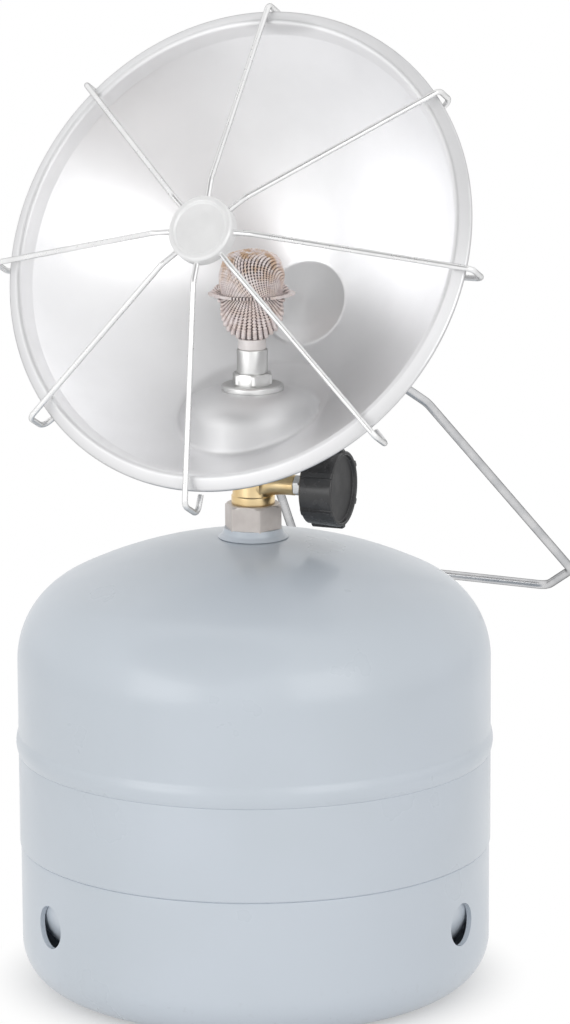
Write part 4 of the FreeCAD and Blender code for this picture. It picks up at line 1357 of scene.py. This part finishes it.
        # the whole lining takes the painted shade finish
        pick_finish(mesh, [1] * len(mesh.polygons))
        mesh.shade_smooth()
        return mesh

    def lip(self, half: GauzeHalf) -> Mesh:
        """Pressed lens-shaped lip with a pointed ear at each side, with painted shade between its stitches towards the
        front and back.

        Args:
            half: Half of the gauze.

        Returns:
            Its mesh.
        """
        bow = (self.ear**2 + self.lip_depth**2) / (2 * self.lip_depth)
        centre = bow - self.lip_depth
        turns = np.linspace(0, 2 * math.pi, 128, endpoint=False)
        along = np.abs(np.sin(turns)) * centre
        limit = -along + np.sqrt(along * along + bow * bow - centre * centre)
        shares = np.linspace(0.0, 1.0, 9)
        share = np.concatenate([shares, shares[::-1]])[:, None]
        reach = self.lip_inner + (limit - self.lip_inner) * share
        x, y = reach * np.cos(turns), reach * np.sin(turns)
        ripple = self.lip_ripple * np.sin(x * 2.3 + 1.7) * share
        z = self.seam + half.side * np.repeat(self.lip_levels, len(shares))[:, None] + ripple
        mesh = ring_mesh("lip", stood(rotated(self.turn, "Z"), x, y, z), True)
        face_outwards(mesh)
        mesh.shade_smooth()
        # every other stitch of the lip short of the ears takes the painted shade finish
        picks = []
        for across, ahead, _ in (face.center for face in mesh.polygons):
            stitch = math.floor(math.atan2(ahead, across) * self.lip_stitches / math.pi) % 2
            picks.append(stitch > 0 and math.hypot(across, ahead) < self.lip_lit * MM)
        pick_finish(mesh, picks)
        return mesh

    def knit(self, half: GauzeHalf) -> Mesh:
        """One half of the gauze, its ribs swept as wire that swells at each stitch.

        Args:
            half: Half of the gauze.

        Returns:
            Its mesh with ribs, lip and the dark lining of painted shade.
        """
        sweep = np.linspace(*self.sweep, self.stitches * self.stitch_points)
        leans = np.linspace(-self.lean_most, self.lean_most, half.ribs)
        lines = np.array([self.rib(self.ways(aside, sweep, half), half) for aside in leans])
        line = polyline_mesh("ribs", lines, [0.0] * len(sweep), self.girths(lines, half))
        wire = SHELF.take(Slot.GAUZE)
        values = {"Wire Radius": half.girth * MM, "Sides": 6, "Finish": wire}
        ribs = grown(line, WireTree("knit_wire").finished(False), values)
        mesh = joined("gauze", [ribs, self.lip(half), self.lining(half)])
        # the second finish is the painted shade of the lining and lip
        for material in (wire, SHELF.take(Extra.SHADE_LINING)):
            mesh.materials.append(material)
        return mesh

    def build_stack(self) -> None:
        """Make washer, nut, sleeve and collar, one on the other."""
        bore, corner = self.bore, self.nut_flats / math.sqrt(3)
        seat, washed, nutted, sleeved = self.seat, self.washer_top, self.nut_top, self.sleeve_top
        disc, tube, neck = self.washer_radius, self.sleeve_radius, self.collar_radius
        washer = [
            (bore, seat), (disc, seat, 0.35), (disc, washed - 0.5, 0.3), (disc - 0.9, washed, 0.4), (bore, washed)
        ]
        nut = [
            (bore, washed), (corner - 1.0, washed), (corner, washed + 0.55),
            (corner, nutted - 0.6), (corner - 1.1, nutted, 0.2), (bore, nutted),
        ]
        sleeve = [(bore, nutted), (tube, nutted, 0.2), (tube, sleeved, 0.5), (bore, sleeved)]
        collar = [(bore, sleeved), (neck, sleeved, 0.3), (neck, self.base, 0.5), (bore, self.base)]
        facing, flats = rotated(self.turn + self.nut_turn - 90.0, "Z"), six_flats(self.nut_flats)
        for name, mesh, slot, node in (
            ("burner_washer_plated", turned_mesh("washer", rounded(washer)), Slot.PLATED, "burner_washer"),
            ("burner_nut_plated", turned_mesh("nut", rounded(nut), facing, 192, flats, 0.2), Slot.PLATED, "burner_nut"),
            ("burner_sleeve_plated", turned_mesh("sleeve", rounded(sleeve), segments=96), Slot.PLATED, "burner_sleeve"),
            ("gauze_collar_satin", turned_mesh("collar", rounded(collar), segments=96), Slot.COLLAR, "gauze_collar"),
        ):
            finish_piece(name, mesh, slot, [node], 30.0)

    def build(self) -> None:
        """Make the tube, the stack and the gauze."""
        finish_piece("mixing_tube_turned", eased_copy("mixing_tube", 0.2), Slot.PLATED, ["mixing_tube"], 30.0)
        self.build_stack()
        lower, upper = self.halves()
        finish_piece("gauze_lower_knit", self.knit(lower), Slot.GAUZE, ["gauze_lower"])
        finish_piece("gauze_upper_knit", self.knit(upper), Slot.GAUZE, ["gauze_upper"])


@dataclass
class Reflector:
    """Spun bowl with a rolled rim and the burner seat pressed up into it."""

    sheet: float = 0.9
    rim: float = 106.1
    bead: float = 1.3
    lip: float = 101.0
    lip_round: float = 2.0
    lip_height: float = 2.8
    step: tuple[float, float] = (2.2, 5.4)
    roll: tuple[float, float] = (3.0, 1.9)
    depth: float = 72.6
    flat: float = 19.0
    bow: float = 161.0
    foot_round: float = 2.5
    seat: float = 258.9
    seat_flat: float = 15.0
    seat_round: float = 22.0
    seat_shoulder: float = 10.5
    seat_turn: float = 60.0
    seat_radius: float = 32.5
    seat_foot: float = 228.0
    ease: float = 2.0
    missed: float = 1e3
    search: float = 85.0
    search_steps: int = 426
    middle_rings: tuple[float, ...] = (0.0, 4.0, 8.0, 12.0, 15.0, 17.0, 18.3)
    curl_start: float = 0.872
    segments: int = 320

    def rim_outline(self) -> Outline:
        """Rim from the bowl's edge over the lip to the bead.

        Returns:
            Radius and height of its points.
        """
        wall, roll = math.atan2(*self.step), math.atan2(*self.roll)
        crest = self.lip_height - self.lip_round
        lip = arc((self.lip, crest), self.lip_round, 180 - math.degrees(wall), math.degrees(roll), 10)
        curl, shrink = self.rim - self.bead, self.lip_round - self.bead
        along = (curl - self.lip - shrink * math.cos(roll)) / math.sin(roll)
        height = crest - along * math.cos(roll) + shrink * math.sin(roll)
        bead = arc((curl, height), self.bead, math.degrees(roll), -90.0, 12)
        return [(lip[0][0] - self.step[0], lip[0][1] - self.step[1]), *lip, *bead]

    def section(self) -> tuple[np.ndarray, np.ndarray, int]:
        """Front of the bowl and its rim, from the middle out.

        Returns:
            Radii, depths, and how many of them lie in the bowl.
        """
        rim = [(r, -h) for r, h in self.rim_outline()]
        edge, start = np.array(rim[0]), np.array([self.flat, self.depth])
        chord = edge - start
        length = float(np.hypot(*chord))
        inward = np.array([chord[1], -chord[0]]) / length
        centre = (edge + start) / 2 + inward * math.sqrt(self.bow**2 - (length / 2) ** 2)
        first, last = (math.degrees(math.atan2(*(end - centre)[::-1])) for end in (start, edge))
        wall = arc(tuple(centre), self.bow, first, last, 67)
        middle = [(r, self.depth) for r in self.middle_rings]
        foot = rounded([wall[-2], (*rim[0], self.foot_round), rim[1]], False, 5)[1:-1]
        points = np.array(middle + wall[:-1] + foot + rim[1:])
        return points[:, 0], points[:, 1], len(middle) + len(wall) - 1

    def seat_top(self, reach: np.ndarray) -> np.ndarray:
        """Height of the pressed seat.

        Args:
            reach: Distances from the burner's axis.

        Returns:
            The height at each distance, far down past the seat's edge.
        """
        base, turn = (self.seat_flat, self.seat - self.seat_round), self.seat_turn
        crown = arc(base, self.seat_round, 90.0, turn, 12)
        middle = arc(base, self.seat_round - self.seat_shoulder, turn, turn, 0)[0]
        shoulder = arc(middle, self.seat_shoulder, turn, 5.0, 20)
        outline = np.array([(0.0, self.seat), *crown, *shoulder[1:], (self.seat_radius, self.seat_foot)])
        return np.interp(reach, outline[:, 0], outline[:, 1], right=-self.missed)

    def seat_depth(self, across: np.ndarray, up: np.ndarray) -> np.ndarray:
        """Depth at which a line square to the rim first meets the pressed seat.

        Args:
            across: First rim coordinate of each line.
            up: Second rim coordinate of each line.

        Returns:
            The depth, or a large number where the line misses the seat.
        """
        place = np.array(dish_place())
        depths, pace = np.linspace(0.0, self.search, self.search_steps, retstep=True)
        found = np.full(across.shape, self.missed)
        foot = place[:3, 3] + across[..., None] * place[:3, 0] + up[..., None] * place[:3, 1]
        before = None
        for depth in depths:
            point = foot - depth * place[:3, 2]
            gap = point[..., 2] - self.seat_top(np.hypot(point[..., 0], point[..., 1]))
            if before is not None:
                hit = (before > 0) & (gap <= 0) & (found == self.missed)
                share = np.clip(before / np.maximum(before - gap, 1e-9), 0.0, 1.0)
                found = np.where(hit, depth - (1 - share) * pace, found)
            before = gap
        return found

    def front(self) -> Mesh:
        """Front of the sheet as one open surface.

        Returns:
            The surface, looking out of the bowl.
        """
        radius, depth, inner = self.section()
        turns = np.arange(self.segments) * (2 * math.pi / self.segments)
        across, up = radius[:, None] * np.cos(turns), radius[:, None] * np.sin(turns)
        bowl = np.repeat(depth[:, None], self.segments, axis=1)
        pressed = soft_least(bowl, self.seat_depth(across, up), self.ease)
        depths = np.where(np.arange(len(radius))[:, None] < inner, pressed, bowl)
        mesh = ring_mesh("front", stood(dish_place(), across, up, -depths), False)
        if mesh.polygons[len(mesh.polygons) // 2].normal.dot(dish_place().col[2].to_3d()) < 0:
            mesh.flip_normals()
        return mesh

    def build(self) -> None:
        """Make the bowl, give its rolled rim a darker finish of painted shade and its sheet a thickness."""
        mesh = self.front()
        for key in (Slot.REFLECTOR, Extra.BACK, Extra.CURL):
            mesh.materials.append(SHELF.take(key))
        turning = mesh.uv_layers["turning"].data
        outward = [sum(turning[loop].uv.x for loop in face.loop_indices) / face.loop_total for face in mesh.polygons]
        # faces of the rolled rim take the finish of painted shade
        pick_finish(mesh, [2 * (place > self.curl_start) for place in outward])
        thickness = self.sheet * MM
        mesh = applied(mesh, "SOLIDIFY", thickness=thickness, offset=-1.0, use_even_offset=True, material_offset=1)
        finish_piece("reflector_spun", mesh, Slot.REFLECTOR, ["reflector"], 50.0)


@dataclass
class WireGuard:
    """Eight hooked wires clamped in a hub in front of the bowl."""

    wire: float = 1.2
    side: float = 0.9
    drop: float = 2.6
    hub_height: float = 30.8
    hub_radius: float = 14.4
    hub_sheet: float = 1.2
    hub_gap: float = 0.3
    disc_radius: float = 11.1
    ring_height: float = 0.9
    start: float = 9.0
    bend_at: float = 22.5
    hook: float = 110.9
    hook_front: float = 2.2
    hook_back: float = 10.4
    hook_end: float = 102.4
    bends: tuple[float, ...] = (0.0, 6.0, 3.5, 3.5, 0.0)
    turns: tuple[float, ...] = (0.6, 44.1, 93.8, 140.9, 186.7, 225.9, 272.0, 318.6)

    def build_wires(self) -> None:
        """Make all the wires from one bent wire."""
        path = [
            (self.start, 0.0, self.hub_height), (self.bend_at, 0.0, self.hub_height), (self.hook, 0.0, self.hook_front),
            (self.hook, 0.0, -self.hook_back), (self.hook_end, 0.0, -self.hook_back),
        ]
        finish = SHELF.take(Slot.GUARD)
        values = {"Wire Radius": self.wire * MM, "Sides": 20, "Bend Steps": 10, "Finish": finish}
        values |= {f"Turn {k}": math.radians(turn) for k, turn in enumerate(self.turns, start=1)}
        tree = WireTree("guard_spokes").finished(True, len(self.turns))
        mesh = grown(polyline_mesh("wire", np.array([path]), self.bends), tree, values)
        place = dish_place(self.side, self.drop)
        place.translation *= MM
        mesh.transform(place)
        nodes = [f"guard_wire_{k}" for k in range(1, len(self.turns) + 1)]
        finish_piece("guard_wires", mesh, Slot.GUARD, nodes, 50.0)

    def build_hub(self) -> None:
        """Make the hub's pressed cup with its raised ring."""
        outer, sheet, disc = self.hub_radius, self.hub_sheet, self.disc_radius
        reach = self.wire + self.hub_gap + sheet
        front, back = self.hub_height + reach, self.hub_height - reach
        crest = front + self.ring_height
        outline = [
            (0.0, front - sheet), (outer - sheet, front - sheet, 0.4), (outer - sheet, back), (outer, back, 0.4),
            (outer, front, 0.9), (outer - 0.9, crest, 0.8), (disc + 0.9, crest, 0.7), (disc, front, 0.7), (0.0, front),
        ]
        mesh = turned_mesh("hub", rounded(outline), dish_place(self.side, self.drop), 144)
        mesh.materials.append(SHELF.take(Extra.HUB))
        finish_piece("guard_hub", mesh, Slot.GUARD, ["guard_hub_cup"], 40.0)

    def build(self) -> None:
        """Make the wires and the hub."""
        self.build_wires()
        self.build_hub()


@dataclass
class Stand:
    """Folding wire stand and the bracket that it turns in, half holding across, reach and bend of each corner."""

    wire: float = 2.0
    hinge: Triple = (0.0, 48.3696, 271.4805)
    drop: float = 42.8
    half: tuple[Triple, ...] = (
        (9.0, 0.0, 0.0),
        (18.3, 0.0, 5.0),
        (44.6, 42.7, 15.0),
        (69.6, 179.5, 6.0),
        (52.0, 197.0, 10.0),
    )

    def build(self) -> None:
        """Make the bent wire and ease the bracket's edges."""
        path = [(x, reach, 0.0) for x, reach, _ in self.half]
        path += [(-x, reach, z) for x, reach, z in reversed(path)]
        bends = [bend for _, _, bend in self.half]
        line = polyline_mesh("stand", np.array([path]), bends + bends[::-1])
        values = {"Wire Radius": self.wire * MM, "Sides": 24, "Bend Steps": 14, "Finish": SHELF.take(Slot.STAND)}
        mesh = grown(line, WireTree("bent_wire").finished(True), values)
        mesh.transform(Matrix.Translation(Vector(self.hinge) * MM) @ rotated(-self.drop, "X"))
        finish_piece("stand_bent_wire", mesh, Slot.STAND, ["stand_wire"], 50.0, Body.STAND)
        bracket = eased_copy("stand_bracket", 0.3)
        finish_piece("stand_bracket_pressed", bracket, Slot.STAND, ["stand_bracket"], 34.0)


@dataclass
class InnerParts:
    """Small parts inside the valve and hub that keep the frame's own shape."""

    nodes: dict[str, Slot] = field(
        default_factory=lambda: {
            "bottle_boss_seal": Slot.RUBBER,
            "bottle_check_ball": Slot.STEEL,
            "bottle_check_spring": Slot.STEEL,
            "jet_nozzle": Slot.BRASS,
            "gland_seal": Slot.RUBBER,
            "spindle": Slot.STEEL,
            "guard_hub_plate": Slot.GUARD,
        }
    )

    def dress(self) -> None:
        """Give each node its procedural finish."""
        for name, slot in self.nodes.items():
            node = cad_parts[name]
            if not node.material_slots:
                node.data.materials.append(None)
            for holder in node.material_slots:
                holder.material = SHELF.take(slot)
            LOG.info("%s: dressed in %s", name, slot.value)


@dataclass
class Studio:
    """Floor, lights, background and camera, lamps given as azimuth, elevation and radiance."""

    target: Triple = (11.58, 7.13, 205.31)
    distance: float = 2300.0
    azimuth: float = 26.65
    elevation: float = 12.5
    roll: float = 0.3
    lens: float = 189.5
    sensor: float = 36.0
    sight: float = 30.0
    daylight: float = 0.68
    lamp_size: float = 1.3
    lamp_reach: float = 2.2
    lamp_aim: float = 0.22
    left_box: Triple = (-18.0, 10.0, 1.75)
    right_box: Triple = (62.0, 14.0, 1.35)
    ceiling: float = 0.15
    ceiling_way: Triple = (-4.0, 49.0, 1.6)
    ceiling_radius: float = 1010.0
    floor_level: float = -0.3
    floor_tone: float = 0.86
    floor_rings: tuple[float, ...] = (0.0, 60.0, 140.0, 300.0, 700.0, 2500.0)
    shadow_span: tuple[float, float] = (0.085, 0.12)
    shadow_least: float = 0.4
    middle: Vector = field(default_factory=lambda: Vector((0.0, 0.0, 0.3)))

    def build_camera(self) -> None:
        """Stand the camera at the photograph's viewing angle."""
        turn, rise, tip = (math.radians(angle) for angle in (self.azimuth, self.elevation, self.roll))
        right = Vector((math.cos(turn), math.sin(turn), 0.0))
        up = Vector((-math.sin(turn) * math.sin(rise), math.cos(turn) * math.sin(rise), math.cos(rise)))
        back = right.cross(up)
        right, up = right * math.cos(tip) - up * math.sin(tip), up * math.cos(tip) + right * math.sin(tip)
        data = bpy.data.cameras.new("camera")
        data.lens = self.lens
        data.sensor_width = self.sensor
        data.clip_end = self.sight
        camera = placed("camera", data)
        place = Matrix((right, up, back)).transposed().to_4x4()
        place.translation = (Vector(self.target) + back * self.distance) * MM
        camera.matrix_world = place
        bpy.context.scene.camera = camera

    def towards(self, azimuth: float, elevation: float, reach: float) -> Vector:
        """Point that lies in a direction from the reflector.

        Args:
            azimuth: Turn in degrees from straight in front, positive to the right.
            elevation: Rise in degrees.
            reach: Distance in metres.

        Returns:
            The point in metres.
        """
        turn, rise = math.radians(azimuth), math.radians(elevation)
        way = Vector((math.sin(turn) * math.cos(rise), -math.cos(turn) * math.cos(rise), math.sin(rise)))
        return self.middle + way * reach

    def build_softbox(self, name: str, azimuth: float, elevation: float, radiance: float) -> None:
        """A soft square light that looks at the heater.

        Args:
            name: Name of the light.
            azimuth: Its direction in degrees.
            elevation: Its rise in degrees.
            radiance: How bright its face is, where the background is 1.
        """
        data = bpy.data.lights.new(name, "AREA")
        data.size = self.lamp_size
        data.energy = radiance * math.pi * self.lamp_size**2
        light = placed(name, data)
        light.location = self.towards(azimuth, elevation, self.lamp_reach)
        light.rotation_euler = (Vector((0.0, 0.0, self.lamp_aim)) - light.location).to_track_quat("-Z", "Y").to_euler()
        light.visible_camera = False

    def bare_bench(self, mesh: Mesh, name: str) -> NodeBench:
        """Give a mesh an empty material.

        Args:
            mesh: Mesh that gets it.
            name: Name of the material.

        Returns:
            The bench that fills it.
        """
        material = bpy.data.materials.new(name)
        material.use_nodes = True
        material.node_tree.nodes.clear()
        mesh.materials.append(material)
        return NodeBench(material.node_tree)

    def seen(self, bench: NodeBench) -> NodeSocket:
        """Whether a ray shows the background: camera, glossy and transmission rays do.

        Args:
            bench: Bench of the material or world.

        Returns:
            1 for such a ray, 0 for others.
        """
        rays = bench.add("ShaderNodeLightPath").outputs
        total = rays["Is Camera Ray"]
        for name in ("Is Glossy Ray", "Is Transmission Ray"):
            total = bench.add("ShaderNodeMath", {0: total, 1: rays[name]}, operation="MAXIMUM").outputs["Value"]
        return total

    def build_world(self) -> None:
        """White background over a plain level of daylight."""
        world = bpy.data.worlds.new("studio")
        bpy.context.scene.world = world
        world.use_nodes = True
        bench = NodeBench(world.node_tree)
        level = bench.add("ShaderNodeMapRange", {"Value": self.seen(bench), "To Min": self.daylight, "To Max": 1.0})
        background = world.node_tree.nodes["Background"].inputs
        bench.feed(background["Color"], (1.0, 1.0, 1.0))
        bench.feed(background["Strength"], level.outputs["Result"])

    def build_ceiling(self) -> None:
        """Grey ceiling that only mirrors in bright metal."""
        centre = self.towards(*self.ceiling_way)
        turn = (centre - self.middle).to_track_quat("Z", "Y").to_matrix().to_4x4()
        radius = self.ceiling_radius
        disc = [(0.0, 0.0), (radius, 0.0), (radius + 20.0, 6.0), (radius, 12.0), (0.0, 12.0)]
        mesh = turned_mesh("ceiling", disc, Matrix.Translation(centre / MM) @ turn, 96)
        bench = self.bare_bench(mesh, "ceiling_grey")
        glow = bench.add("ShaderNodeEmission", {"Color": (self.ceiling,) * 3})
        bench.add("ShaderNodeOutputMaterial", {"Surface": glow.outputs["Emission"]})
        ceiling = placed("ceiling", mesh)
        for name in ("camera", "diffuse", "transmission", "shadow", "volume_scatter"):
            setattr(ceiling, f"visible_{name}", False)

    def build_floor(self) -> None:
        """Pale round floor that keeps the shadow and fades into the background."""
        radius = np.array(self.floor_rings)[:, None]
        turns = np.linspace(0, 2 * math.pi, 96, endpoint=False)
        x, y = radius * np.cos(turns), radius * np.sin(turns)
        mesh = ring_mesh("floor", stood(UPRIGHT, x, y, np.full_like(x, self.floor_level)), False)
        if mesh.polygons[0].normal.z < 0:
            mesh.flip_normals()
        bench = self.bare_bench(mesh, "floor_paper")
        place = bench.add("ShaderNodeTexCoord").outputs["Object"]
        away = bench.add("ShaderNodeVectorMath", {0: place}, operation="LENGTH").outputs["Value"]
        near, far = self.shadow_span
        feeds = {"Value": away, "From Min": near, "From Max": far, "To Min": self.shadow_least}
        fade = bench.add("ShaderNodeMapRange", feeds, interpolation_type="SMOOTHSTEP").outputs["Result"]
        share = bench.add("ShaderNodeMath", {0: fade, 1: self.seen(bench)}, operation="MULTIPLY").outputs["Value"]
        matt = bench.add("ShaderNodeBsdfDiffuse", {"Color": (self.floor_tone,) * 3}).outputs["BSDF"]
        glow = bench.add("ShaderNodeEmission").outputs["Emission"]
        mixed = bench.add("ShaderNodeMixShader", {"Fac": share, 1: matt, 2: glow}).outputs["Shader"]
        bench.add("ShaderNodeOutputMaterial", {"Surface": mixed})
        floor = placed("floor", mesh)

    def build(self) -> None:
        """Set up the whole studio."""
        self.build_camera()
        self.build_world()
        self.build_floor()
        self.build_ceiling()
        self.build_softbox("left_box", *self.left_box)
        self.build_softbox("right_box", *self.right_box)
        bpy.context.scene.view_settings.view_transform = "Standard"


def main() -> None:
    """Build the heater and its studio."""
    logging.basicConfig(level=logging.INFO, format="%(name)s: %(message)s")
    Studio().build()
    GasBottle().build()
    ControlValve().build()
    Burner().build()
    Reflector().build()
    WireGuard().build()
    Stand().build()
    InnerParts().dress()


if __name__ == "__main__":
    main()
